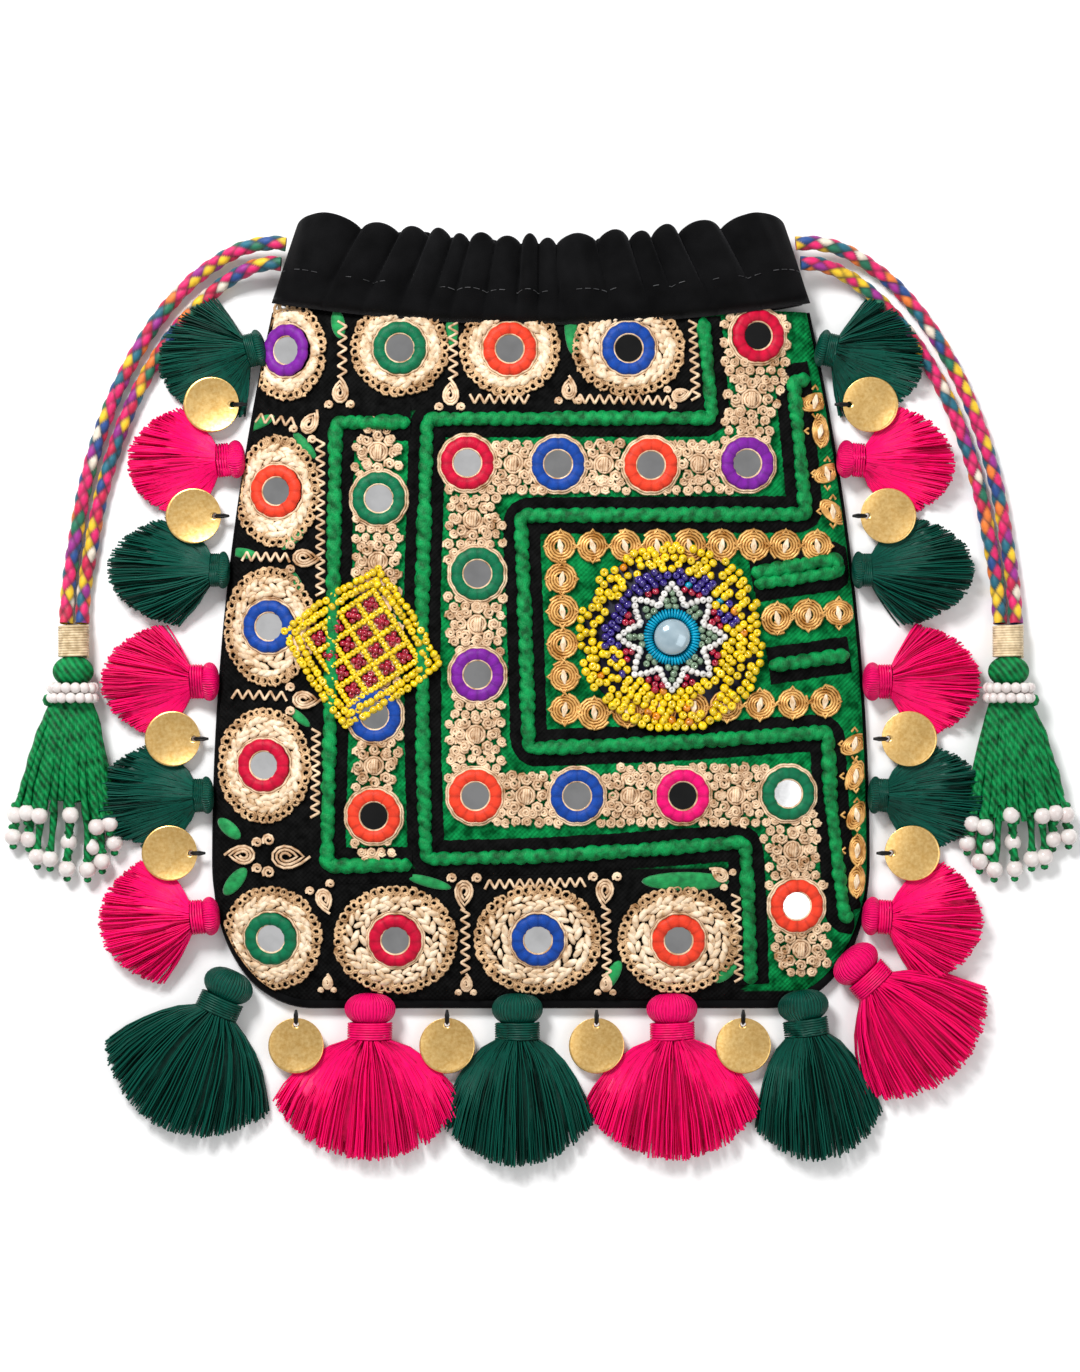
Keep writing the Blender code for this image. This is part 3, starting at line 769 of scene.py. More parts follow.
def paint_braid(mesh, walk, side, up, length, strands, pitch, seed):
    """Each diamond takes a colour of its own, with painted shade darkening it down in the gaps."""
    points = points_of(mesh)
    chosen = np.empty(len(points), int)
    for start in range(0, len(points), 4000):
        part = points[start:start + 4000]
        chosen[start:start + 4000] = ((part[:, None] - walk[None]) ** 2).sum(2).argmin(1)
    from_line = points - walk[chosen]
    turn = np.arctan2((from_line * up[chosen]).sum(1), (from_line * side[chosen]).sum(1))
    u = chosen / (len(walk) - 1)
    first, second = braid_phases(u, turn / (2 * math.pi) % 1.0, length, strands, pitch)
    one, two = np.floor(first).astype(int), np.floor(second).astype(int)
    order = np.random.default_rng(60 + seed).choice(len(BRAID_COLOURS), 997, p=BRAID_SHARES)
    colours = np.array(BRAID_COLOURS)[order[(one * 31 + two * 57) % 997]]
    # painted shade: the colour darkened down in the gaps between strands
    painted_gap_shade = np.abs(np.sin(math.pi * first) * np.sin(math.pi * second)) ** 0.5
    tint(mesh, colours * np.clip(0.12 + 1.05 * painted_gap_shade, 0, 1)[:, None])


PEARL_TIPS = (
    (-19.6, -42.5), (-15.6, -41.8), (-11.2, -42.8), (-0.6, -42.5), (8.2, -46.6), (12.4, -45.4),
    (-20.8, -50.0), (-15.4, -50.9), (-1.7, -51.9), (6.3, -53.5), (13.8, -52.2), (-12.6, -56.9),
    (-8.2, -57.6), (-2.4, -61.0), (4.6, -61.3), (9.6, -58.5),
)

def make_drawcords():
    finish = tinted_finish("braided cotton", 0.6, grain=1500, Sheen_Weight=0.25)
    wrap = thread_finish("cream metal thread", (0.42, 0.30, 0.16), (0.86, 0.70, 0.46), 0.35)
    for side, word in ((-1, "left"), (1, "right")):
        hung = make_cord_tassel(side, word, wrap)
        for seed, strand in enumerate(("outer", "inner")):
            route = OUTER_ROUTE if strand == "outer" else INNER_ROUTE
            route = [(-side * x, y, z) for x, y, z in route]
            line = smooth_route(route, 0.002)
            node = f"cord_{word}_{strand}"
            mesh = braided_cord(f"drawcord_{word}_{strand}", line, node, seed * 3 + (side > 0))
            cord = piece(f"drawcord_{word}_{strand}", mesh, finish,
                         replaces=(node,))


def cord_tassel_yarns(side, cx, top, bottom):
    """Yarns to each pearl, and shorter ones that fill between them."""
    random = np.random.default_rng(11 + side)
    tips = [(-side * x * MM, y * MM, True) for x, y in PEARL_TIPS]
    for k in range(22):
        tips.append(((-1 + 2 * (k + 0.5) / 22) * 0.0155 + side * 0.003,
                     bottom + random.uniform(0.012, 0.022), False))
    yarns, thick, beads, knots = [], [], [], []
    t = np.linspace(0, 1, 20)
    for number, (x, y, pearled) in enumerate(tips):
        w = np.clip((x - side * 0.003) / 0.0185, -1, 1)
        rim = math.sqrt(max(0.0, 1 - 0.9 * w * w))
        high = 0.0034 + (0.0058 * rim if y > -0.0490 or not pearled else 0.0010)
        if not pearled:
            high -= 0.0010 * (number % 2)
        bow = np.sin(math.pi * t) * 0.0020 * rim
        sway = random.uniform(-1, 1) * 0.0007 * np.sin(2 * math.pi * t)
        start_x = w * 0.0062
        yarns.append(np.stack([cx + start_x + (x - start_x) * t**0.75 + sway,
                               top + (y - top) * t, 0.0090 * (1 - t) * rim + 0.0046 * (1 - t)
                               * (1 - rim) + high * t + bow], 1))
        thick.append(0.00118 * (1 + 0.16 * np.sin(28 * t + number)))
        if pearled:
            z = max(high, 0.0032)
            beads.append(placed(cx + x, y - 0.0008, z, 0, (0.0030,) * 3))
            knots.append(placed(cx + x, y - 0.0042, max(z - 0.0006, 0.0014), 0,
                                (0.0014, 0.0012, 0.0013)))
            knots.append(placed(cx + x, y + 0.0024, z, 0, (0.0017, 0.0013, 0.0015)))
    return yarns, thick, beads, knots


def cord_tassel_heart(u, v, cx, top, bottom):
    """The heart of the yarns, that closes the gaps between them."""
    turn = 2 * math.pi * (v % 1.0)
    t = np.clip(u, 0, 1)
    half = (0.0058 + 0.0088 * t**0.75) * np.where(t > 0.99, 0.01, 1)
    high = 0.0038 * np.where(t > 0.99, 0.01, 1)
    return np.stack([cx + half * np.cos(turn), top + (bottom + 0.019 - top) * t,
                     0.0058 - 0.0012 * t + high * np.sin(turn)], 1)


def make_cord_tassel(side, word, wrap):
    """Wrapped neck, bound head, two rows of pearls, and yarns that end in pearls."""
    low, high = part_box(f"cord_wrap_{word}")
    cx, top = (low.x + high.x) / 2, high.y
    cz = (low.z + high.z) / 2
    green = bpy.data.materials.get("leaf green yarn") or yarn_finish()
    pearl = bpy.data.materials.get("seed pearl") or pearl_finish("seed pearl")
    t = np.linspace(0, 1, 12 * 14 + 1)
    turn = 2 * math.pi * 12 * t
    winding = np.stack([cx + 0.0049 * np.cos(turn), top - t * (high.y - low.y),
                        cz + 0.0044 * np.sin(turn)], 1)
    parts = [piece(f"cord_wrap_thread_{word}", threads("wrap", [winding], 0.00052, 1), wrap,
                   replaces=(f"cord_wrap_{word}",))]
    tassel_low, tassel_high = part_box(f"cord_tassel_{word}")
    head_y = tassel_high.y - 0.0046
    bm = bmesh.new()
    bmesh.ops.create_uvsphere(bm, u_segments=40, v_segments=20, radius=1)
    for vert in bm.verts:
        groove = 1 + 0.035 * math.cos(20 * math.atan2(vert.co.y, vert.co.x))
        vert.co = Vector((vert.co.x * groove * 0.0068, -vert.co.z * 0.0054,
                          vert.co.y * groove * 0.0058))
    bmesh.ops.recalc_face_normals(bm, faces=bm.faces)
    bmesh.ops.translate(bm, verts=bm.verts, vec=(cx, head_y, 0.0066))
    parts.append(piece(f"cord_tassel_head_{word}", bm, green))
    rows = []
    for row, y in enumerate((head_y - 0.0056, head_y - 0.0090)):
        for k in range(14):
            turn = 2 * math.pi * (k + 0.5 * row) / 14
            rows.append(placed(cx + 0.0072 * math.cos(turn), y, 0.0080 + 0.0056 * math.sin(turn),
                               0, (0.0019,) * 3))
    parts.append(piece(f"pearl_rows_{word}", copies("pearls", ball(12, 8), rows), pearl,
                       replaces=(f"pearl_ring_{word}",)))
    yarns, thick, beads, knots = cord_tassel_yarns(side, cx, head_y - 0.0106, tassel_low.y)
    heart = sheet_mesh("heart", 16, 20,
                       lambda u, v: cord_tassel_heart(u, v, cx, head_y - 0.0106, tassel_low.y),
                       close_rows=True)
    knots.append(placed(cx + side * 0.0082, head_y - 0.0098, 0.0075, 0, (0.0022, 0.0024, 0.0024)))
    yarn = joined("yarns", [threads("yarns", yarns, 1.0, 1, thick), heart,
                            copies("knots", ball(8, 5), knots)])
    parts.append(piece(f"cord_tassel_yarns_{word}", yarn, green,
                       replaces=(f"cord_tassel_{word}",)))
    parts.append(piece(f"cord_tassel_pearls_{word}", copies("tips", ball(14, 9), beads), pearl))
    return parts


# ---------------------------------------------------------------- velvet casing


def gathers(u, seed):
    """Rounded folds of uneven width across the casing, from 0 in a fold to 1 on its crest."""
    random = np.random.default_rng(seed)
    widths = random.uniform(0.6, 1.5, 15)
    widths[0] = widths[-1] = 1.9
    edges = np.r_[0, np.cumsum(widths)] / widths.sum()
    number = np.clip(np.searchsorted(edges, u, side="right") - 1, 0, len(widths) - 1)
    inside = (u - edges[number]) / (edges[number + 1] - edges[number])
    height = random.uniform(0.6, 1.0, len(widths))
    height[0] = height[-1] = 1.0
    return height[number] * np.sin(math.pi * np.clip(inside, 0, 1)) ** 0.6


def casing_shape(u, v, front):
    """A folded band: v goes round it, from the seam over the outer face and back inside."""
    y_low, y_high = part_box("casing_front")[0].y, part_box("casing_front")[1].y
    turn = 2 * math.pi * (v % 1.0)
    across = 2 * u - 1
    height = np.sin(turn / 2) ** 0.8
    lean = 0.055 * np.clip(across * 1.6, -1, 1) * (height - 0.55)
    crest = gathers(np.clip(u + lean * (1 - across**8), 0, 1), 5 if front else 6)
    small = 0.5 + 0.5 * np.sin(96 * u + 5 * height + 3 * np.sin(21 * u))
    seam = y_low - 0.0015 - 0.0042 * (1 - across**2) + 0.0040 * across**2
    dip = 0.0095 * np.clip(1 - np.abs(across) ** 1.6, 0, 1)
    top = y_high + 0.0008 - dip - 0.0042 * (1 - crest)
    y = seam + (top - seam) * height
    share = (y - seam) / (top - seam)
    arch = np.clip(1 - np.abs(across) ** SIDE_FALL, 0, 1) ** CROWN_POWER
    outer = np.where(turn < math.pi, 1.0, -1.0) * np.abs(np.sin(turn)) ** 0.45
    if front:
        middle = 0.0095 + 0.0085 * arch
        half = 0.0026 + 0.0014 * arch
    else:
        middle = np.full_like(u, 0.0032)
        half = np.full_like(u, 0.0026)
    gathered = np.clip((share - 0.16) / 0.25, 0, 1)
    deep = 0.0048 if front else 0.0010
    ruffle = deep * (crest * (0.30 + 0.70 * gathered) + 0.18 * small * gathered)
    hem = 0.0009 * np.exp(-((share - 0.10) / 0.07) ** 2)
    z = middle + outer * half + np.where(outer > 0, ruffle + hem, ruffle * 0.3)
    if not front:
        z = np.maximum(z, 0.0003)
    x_half = 0.0915 + (0.0828 - 0.0915) * share + 0.0012 * crest - (0 if front else 0.0022)
    pinch = np.sqrt(np.clip(1 - np.abs(across) ** 14, 0, 1))
    z = middle + (z - middle) * pinch
    y = seam + (y - seam) * (0.93 + 0.07 * pinch)
    return np.stack([across * x_half, y, z], 1)


def make_casing():
    velvet = velvet_finish()
    for word, across, up, sewn_to in (("front", 380, 44, "front_cloth"),
                                      ("back", 170, 22, "back_panel")):
        mesh = sheet_mesh(f"casing_{word}", across, up,
                          lambda u, v: casing_shape(u, v, word == "front"), close_rows=True)
        band = piece(f"gathered_casing_{word}", mesh, velvet,
                     replaces=(f"casing_{word}",))
    stitch = thread_finish("grey sewing thread", (0.01, 0.01, 0.011), (0.10, 0.10, 0.105), 0.5)
    random = np.random.default_rng(31)
    dashes = []
    for number in range(62):
        if random.uniform() < 0.45:
            continue
        u = np.linspace((number + 0.15) / 62, (number + 0.80) / 62, 5)
        line = casing_shape(u, np.full(5, 0.095), True)
        line[:, 2] += 0.00015
        dashes.append(line)
    piece("casing_stitches", threads("stitches", dashes, 0.00014, 0), stitch)


# ---------------------------------------------------------------- front and back cloth


def outline_point(v, side):
    y = np.where(v < 0.6, SEAM_TOP_Y + (WIDEST_Y - SEAM_TOP_Y) * v / 0.6, 0)
    turn = np.radians(90) * np.clip((v - 0.6) / 0.4, 0, 1)
    return np.where(v < 0.6, y, WIDEST_Y + (BOTTOM_Y - WIDEST_Y) * np.sin(turn))


def ribbon(route, number):
    """A black strip of felt beside and under a braid, with slightly frayed edges."""
    line = dense(rounded_route(np.array(route) * MM, 0.0035), 0.0009)
    along = np.gradient(line, axis=0)
    along /= np.linalg.norm(along, axis=1)[:, None]
    side = np.stack([along[:, 1], -along[:, 0]], 1)
    steps = np.arange(len(line))
    fray = np.random.default_rng(70 + number).uniform(-1, 1, (2, len(line))) * 0.00022

    def shape(u, v):
        at = u * (len(line) - 1)
        frayed = np.where(v > 0.5, np.interp(at, steps, fray[0]), np.interp(at, steps, fray[1]))
        off = (2 * v - 1) * (BLACK_REACH - 0.0004 + frayed)
        x = np.interp(at, steps, line[:, 0]) + off * np.interp(at, steps, side[:, 0])
        y = np.interp(at, steps, line[:, 1]) + off * np.interp(at, steps, side[:, 1])
        return np.stack([x, y, 0.0002 + 0.0009 * np.cos(math.pi * (v - 0.5)) ** 0.5], 1)

    return sheet_mesh("ribbon", len(line) - 1, 6, shape)


def make_ground():
    """The front cloth, black under the outer rosettes, with black strips under the braids."""
    def shape(u, v):
        y = outline_point(1 - v, 1)
        x = np.sin((u - 0.5) * math.pi) * half_width(y)
        return np.stack([x, y, skin(x, y)], 1)

    mesh = sheet_mesh("ground", 112, 120, shape)
    points = points_of(mesh)
    x, y = points[:, 0], points[:, 1]
    outer = (y > 0.0915) & (x < 0.054)
    outer |= (x < -0.0705) | ((y < -0.0600) & (x < 0.070)) | (y < -0.1035)
    shade(mesh, outer.astype(float), "black")
    bm = bmesh.new()
    bm.from_mesh(mesh)
    bmesh.ops.solidify(bm, geom=bm.faces[:], thickness=0.0014)
    finish = ground_finish()
    cloth = piece("front_cloth", bm, finish, replaces=("front_panel",))
    strips = joined("strips", [ribbon(route, number) for number, route in enumerate(BRAIDS)])
    lay(strips)
    shade(strips, np.ones(len(strips.vertices)), "black")
    piece("black_strips", strips, finish)


def make_back():
    """The back panel keeps its flat face and takes a velvet of its own."""
    back = frame["nodes"]["back_panel"]
    back.data.materials.clear()
    back.data.materials.append(velvet_finish("back velvet"))


def make_binding():
    """Rolled black velvet along the seam, slimmer up the sides."""
    v = np.linspace(0, 1, 120)
    left = np.stack([-half_width(outline_point(v, 1)), outline_point(v, 1)], 1)
    right = left[::-1] * (-1, 1)
    middle = np.stack([np.linspace(-FLAT_HALF, FLAT_HALF, 40)[1:-1],
                       np.full(38, BOTTOM_Y)], 1)
    route = dense(np.concatenate([left, middle, right]), 0.0020)
    low = np.clip((-0.070 - route[:, 1]) / 0.03, 0, 1)
    radius = 0.0009 + 0.0012 * low
    along = np.gradient(route, axis=0)
    along /= np.linalg.norm(along, axis=1)[:, None]
    away = np.stack([along[:, 1], -along[:, 0]], 1)
    away *= np.sign((away * route).sum(1))[:, None]
    centre = route + away * (radius * 0.45)[:, None]
    line = np.c_[centre, 0.0022 + 0.3 * radius]
    mesh = threads("binding", [line], 1.0, 2, [radius])
    piece("velvet_binding", mesh, velvet_finish("binding velvet"),
          replaces=("edge_binding",))


# ---------------------------------------------------------------- embroidery


def knotted_braid(route, number):
    """A wrapped braid couched on the cloth: slanting lumps of satin thread."""
    line = dense(rounded_route(np.array(route) * MM, 0.0022), 0.00058)
    count = len(line)
    along = np.gradient(line, axis=0)
    along /= np.linalg.norm(along, axis=1)[:, None]
    side = np.stack([along[:, 1], -along[:, 0]], 1)
    steps = np.arange(count)
    random = np.random.default_rng(40 + number)
    wander = np.interp(steps, np.linspace(0, count, count // 12 + 2),
                       random.uniform(-0.35, 0.35, count // 12 + 2))
    width = np.interp(steps, np.linspace(0, count, count // 8 + 2),
                      random.uniform(0.86, 1.16, count // 8 + 2))
    slant = np.interp(steps, np.linspace(0, count, count // 20 + 2),
                      random.uniform(0.15, 0.6, count // 20 + 2))

    def shape(u, v):
        at = u * (count - 1)
        turn = 2 * math.pi * (v % 1.0)
        phase = at * 0.00058 / 0.0041 + np.interp(at, steps, wander)
        phase = phase + np.interp(at, steps, slant) * np.cos(turn)
        lump = np.abs(np.sin(math.pi * phase)) ** 0.45
        ends = np.sqrt(np.clip(np.minimum(u, 1 - u) * count * 0.00058 / 0.0020, 0.02, 1))
        half = BRAID_HALF * np.interp(at, steps, width) * (0.66 + 0.38 * lump) * ends
        x, y = np.interp(at, steps, line[:, 0]), np.interp(at, steps, line[:, 1])
        sx, sy = np.interp(at, steps, side[:, 0]), np.interp(at, steps, side[:, 1])
        height = 0.0013 + 0.86 * half * np.sin(turn)
        return np.stack([x + sx * half * np.cos(turn), y + sy * half * np.cos(turn), height], 1)

    return sheet_mesh("braid", count - 1, 12, shape, close_rows=True)


def make_braids():
    finish = Finish("leaf green satin", Roughness=0.5, Specular_IOR_Level=0.2)
    tone = finish.noise(300, 3)
    finish.set("Base Color", finish.ramp(tone, (0.32, (0.0, 0.075, 0.016)),
                                         (0.66, (0.0, 0.30, 0.072))))
    finish.bump(finish.noise(1, 2, finish.coords((2600, 1200, 900))), 0.0005, 0.8)
    for number, route in enumerate(BRAIDS, 1):
        mesh = lay(knotted_braid(route, number))
        piece(f"couched_braid_{number}", mesh, finish.material)


def spiral(turns, radius, start=0.25, per_turn=10, height=0.0):
    t = np.linspace(0, 1, int(turns * per_turn) + 1)
    turn = 2 * math.pi * turns * t
    reach = radius * (start + (1 - start) * t)
    return np.stack([reach * np.cos(turn), reach * np.sin(turn),
                     np.full_like(t, height) + 0.0002 * (1 - t)], 1)


def moved(line, x, y, turn=0.0, sx=1.0, sy=1.0, z=0.0):
    c, s = math.cos(turn), math.sin(turn)
    px, py = line[:, 0] * sx, line[:, 1] * sy
    return np.stack([x + c * px - s * py, y + s * px + c * py, line[:, 2] + z], 1)


def clear_of_mirrors(point, reach):
    for x, y, *_ in BAND_MIRRORS:
        if math.hypot(point[0] - x * MM, point[1] - y * MM) < reach:
            return False
    return True


def coil_places():
    """Centres of the small coils that fill the bands, in offset rows, clear of the mirrors."""
    spacing = 0.0035
    found = []
    for route, half in COIL_BANDS:
        line = np.array(route) * MM
        low, high = line.min(0) - 0.013, line.max(0) + 0.013
        for row, y in enumerate(np.arange(low[1], high[1], spacing * 0.866)):
            xs = np.arange(low[0] + (row % 2) * spacing / 2, high[0], spacing)
            grid = np.stack([xs, np.full_like(xs, y)], 1)
            found.append(grid[away_from(grid, line) < half * MM - 0.0010])
    points = np.concatenate(found)
    kept = []
    for point in points:
        if point[1] > SEAM_TOP_Y - 0.002 or not clear_of_mirrors(point, RIM_RADIUS + 0.0012):
            continue
        if kept and np.hypot(*(np.array(kept) - point).T).min() < spacing * 0.8:
            continue
        if min(math.hypot(point[0] - x * MM, point[1] - y * MM) for x, y in ROSES) < 0.0056:
            continue
        kept.append(point)
    return np.array(kept)


def make_coils():
    """Curled cream cord: small coils all over the bands, and a double one at each rose."""
    cream = thread_finish("cream cord", (0.34, 0.17, 0.07), (0.92, 0.70, 0.48), 0.42)
    random = np.random.default_rng(3)
    lines = []
    for x, y in coil_places():
        size = random.uniform(0.85, 1.12)
        line = spiral(2.0, 0.00178 * size, 0.12, 7)
        lines.append(moved(line, x + random.uniform(-1, 1) * 0.0004,
                           y + random.uniform(-1, 1) * 0.0004, random.uniform(0, 6.28),
                           z=0.0006 + random.uniform(0, 0.0009)))
    piece("cream_coils", lay(threads("coils", lines, 0.00050, 0)), cream)
    roses = []
    for x, y in ROSES:
        roses.append(moved(spiral(3.2, 0.0036, 0.12, 11), x * MM, y * MM, random.uniform(0, 6),
                           z=0.0012))
        for k in range(8):
            turn = 2 * math.pi * k / 8
            loop = spiral(1.7, 0.0020, 0.2, 7)
            roses.append(moved(loop, x * MM + 0.0056 * math.cos(turn),
                               y * MM + 0.0056 * math.sin(turn), turn, z=0.0014))
        bar = np.array([(-0.0022, 0, 0.0), (0, 0, 0.0006), (0.0022, 0, 0.0)])
        for k in range(3):
            roses.append(moved(bar, x * MM + (k - 1) * 0.0008, y * MM, 1.5, z=0.0018))
    piece("cream_roses", lay(threads("roses", roses, 0.00052, 0)), cream)
    return cream


def rim_mesh(scale_x, scale_y, colour):
    """Thread worked over the mirror's edge in slightly flat facets, with painted shade darkening the
    creases between them.
    """
    def shape(u, v):
        turn = 2 * math.pi * (u % 1.0)
        lobes = 12
        facet = 1 + 0.034 * np.abs(np.sin(lobes * turn / 2))
        section = 2 * math.pi * (v % 1.0)
        middle = (GLASS_RADIUS + RIM_RADIUS) / 2 - 0.0001
        half = (RIM_RADIUS - GLASS_RADIUS) / 2 + 0.0003
        reach = (middle + half * np.cos(section)) * facet
        crease = 0.00012 * (1 - np.abs(np.sin(lobes * turn / 2)) ** 0.5)
        z = 0.0011 + (0.00125 - crease) * np.sin(section)
        return np.stack([scale_x * reach * np.cos(turn), scale_y * reach * np.sin(turn), z], 1)

    mesh = sheet_mesh("rim", 72, 8, shape, close_rows=True)
    points = points_of(mesh)
    turn = np.arctan2(points[:, 1], points[:, 0])
    # painted shade: the thread's colour darkened in the creases between facets
    painted_crease_shade = 0.72 + 0.28 * np.abs(np.sin(6 * turn)) ** 0.4
    return tint(mesh, np.array(colour)[None] * painted_crease_shade[:, None])


def glass_mesh(tone, scale_x, scale_y):
    bm = bmesh.new()
    bmesh.ops.create_cone(bm, cap_ends=True, segments=40, radius1=GLASS_RADIUS + 0.0004,
                          radius2=GLASS_RADIUS + 0.0002, depth=0.0008)
    bmesh.ops.scale(bm, verts=bm.verts, vec=(scale_x, scale_y, 1))
    bmesh.ops.translate(bm, verts=bm.verts, vec=(0, 0, 0.0008))
    mesh = bpy.data.meshes.new("glass")
    bm.to_mesh(mesh)
    bm.free()
    # the glass's tint is its painted reflection
    return tint(mesh, [(tone, tone, tone * 1.01)])


def seat(mesh, x, y, lift=0.0):
    """Lays a small stiff piece on the skin, tilted with it."""
    step = 0.006
    dx = float(skin(x + step, y) - skin(x - step, y)) / (2 * step)
    dy = float(skin(x, y + step) - skin(x, y - step)) / (2 * step)
    up = Vector((-dx, -dy, 1)).normalized()
    turn = Vector((0, 0, 1)).rotation_difference(up).to_matrix().to_4x4()
    mesh.transform(Matrix.Translation((x, y, float(skin(x, y)) + lift)) @ turn)
    return mesh


def make_mirrors(cream):
    """Round mirrors, their glass tinted with a painted reflection, held by coloured thread, with a
    cream cord round each.
    """
    glass = mirror_finish()
    thread = tinted_finish("mirror thread", 0.5, grain=1800, Specular_IOR_Level=0.2)
    outlines = []
    places = [(x, y, colour, tone, 1, 1) for x, y, colour, tone in BAND_MIRRORS]
    places += [(x, y, colour, tone, min(1, wide / 14.4), 1)
               for x, y, colour, tone, wide, tall in ROSETTES]
    turn = np.linspace(0, 2 * math.pi, 49)
    for number, (x, y, colour, tone, sx, sy) in enumerate(places, 1):
        px, py = x * MM, y * MM
        piece(f"mirror_{number:02d}", seat(glass_mesh(tone, sx, sy), px, py, 0.0006), glass,
              smooth=False)
        piece(f"mirror_thread_{number:02d}", seat(rim_mesh(sx, sy, colour), px, py, 0.0006),
              thread)
        for reach, z in ((RIM_RADIUS + 0.0004, 0.0012), (RIM_RADIUS + 0.0011, 0.0007)):
            lobes = reach * (1 + 0.030 * np.abs(np.sin(6 * turn)))
            ring = np.stack([sx * lobes * np.cos(turn), sy * lobes * np.sin(turn),
                             np.full_like(turn, z)], 1)
            outlines.append(moved(ring, px, py, z=0.0004))
        ring = np.stack([sx * GLASS_RADIUS * np.cos(turn), sy * GLASS_RADIUS * np.sin(turn),
                         np.full_like(turn, 0.0019)], 1)
        outlines.append(moved(ring, px, py))
    piece("mirror_outlines", lay(threads("outlines", outlines, 0.00042, 0)), cream)


def make_rosettes(cream):
    """Plaited petals round each outer mirror, and a ruff of loops outside them."""
    straw = thread_finish("pale raffia", (0.52, 0.32, 0.16), (0.97, 0.82, 0.62), 0.42, 0.0,
                          (400, 400, 1500))
    tan = thread_finish("tan cord", (0.24, 0.11, 0.035), (0.82, 0.56, 0.32), 0.42)
    random = np.random.default_rng(9)
    petals, loops = [], []
    for x, y, _, _, wide, tall in ROSETTES:
        squeeze = min(1, wide / 14.4)
        for row, share in enumerate((0.08, 0.52, 0.98)):
            count = (20, 24, 28)[row]
            rx = 0.0108 * squeeze + (wide * MM - 0.0044 - 0.0108 * squeeze) * share
            ry = 0.0108 + (tall * MM - 0.0044 - 0.0108) * share
            for k in range(count):
                turn = 2 * math.pi * (k + 0.5 * (row % 2)) / count + random.uniform(-0.05, 0.05)
                heading = math.atan2(ry * math.cos(turn), -rx * math.sin(turn))
                slant = (0.45, -0.45, 0.45)[row] + random.uniform(-0.25, 0.25)
                size = random.uniform(0.85, 1.15)
                reach = random.uniform(0.97, 1.03)
                petals.append(placed(x * MM + rx * reach * math.cos(turn),
                                     y * MM + ry * reach * math.sin(turn),
                                     0.0011 + random.uniform(0, 0.0004), heading + slant,
                                     (0.0025 * size, 0.00112 * size, 0.00095)))
        ruff = int(2 * math.pi * (wide + tall) / 2 / 2.75)
        for k in range(ruff):
            for inward, size, shift in ((0.0016, 0.00175, 0.0), (0.0036, 0.00160, 0.5)):
                turn = 2 * math.pi * (k + shift) / ruff + random.uniform(-0.03, 0.03)
                loop = spiral(1.45, size * random.uniform(0.85, 1.15), 0.5, 8)
                loops.append(moved(loop, x * MM + (wide * MM - inward) * math.cos(turn),
                                   y * MM + (tall * MM - inward) * math.sin(turn),
                                   random.uniform(0, 6.28),
                                   z=0.0006 + random.uniform(0, 0.0009)))
    piece("rosette_petals", lay(copies("petals", ball(8, 4), petals)), straw)
    piece("rosette_loops", lay(threads("loops", loops, 0.00044, 0), past_edge=0.0006), tan)


def make_small_work(cream):
    """Teardrops and zigzag cord on the black, and leaf green patches under them."""
    lines = []
    for x, y, degrees, size in TEARDROPS:
        t = np.linspace(0, 1, 34)
        turn = 2 * math.pi * 3.0 * t
        reach = 0.0036 * size * (0.2 + 0.8 * t)
        point = 1 + 0.55 * np.clip(np.cos(turn), 0, 1) ** 6
        line = np.stack([reach * point * np.cos(turn), reach * 0.8 * np.sin(turn),
                         0.0004 * (1 - t)], 1)
        lines.append(moved(line, x * MM, y * MM, math.radians(degrees), z=0.0011))
        for side in (-1, 1):
            bud = spiral(1.6, 0.0014 * size, 0.3, 9)
            off = math.radians(degrees) + math.pi + side * 0.75
            lines.append(moved(bud, x * MM + 0.0054 * size * math.cos(off),
                               y * MM + 0.0054 * size * math.sin(off), z=0.0010))
    for (x0, y0), (x1, y1) in ZIGZAGS:
        start, end = np.array((x0, y0)) * MM, np.array((x1, y1)) * MM
        length = np.linalg.norm(end - start)
        along = (end - start) / length
        count = max(3, int(length / 0.0032)) * 2
        zig = [(*(start + along * length * k / count
                  + np.array((along[1], -along[0])) * 0.0016 * (-1) ** k), 0.001)
               for k in range(count + 1)]
        lines.append(rounded_route(np.array(zig), 0.0006))
    piece("zigzag_and_teardrops", lay(threads("small", lines, 0.00048, 1)), cream)
    patch_finish = thread_finish("leaf green satin stitch", (0.0, 0.13, 0.03), (0.01, 0.32, 0.08),
                                 0.55, 0.2, (900, 2600, 900))
    patches = [placed(x * MM, y * MM, 0.0002, math.radians(turn), (long * MM, wide * MM, 0.0010))
               for x, y, turn, long, wide in GREEN_PATCHES]
    piece("green_satin_leaves", lay(copies("patches", ball(20, 8), patches)), patch_finish)


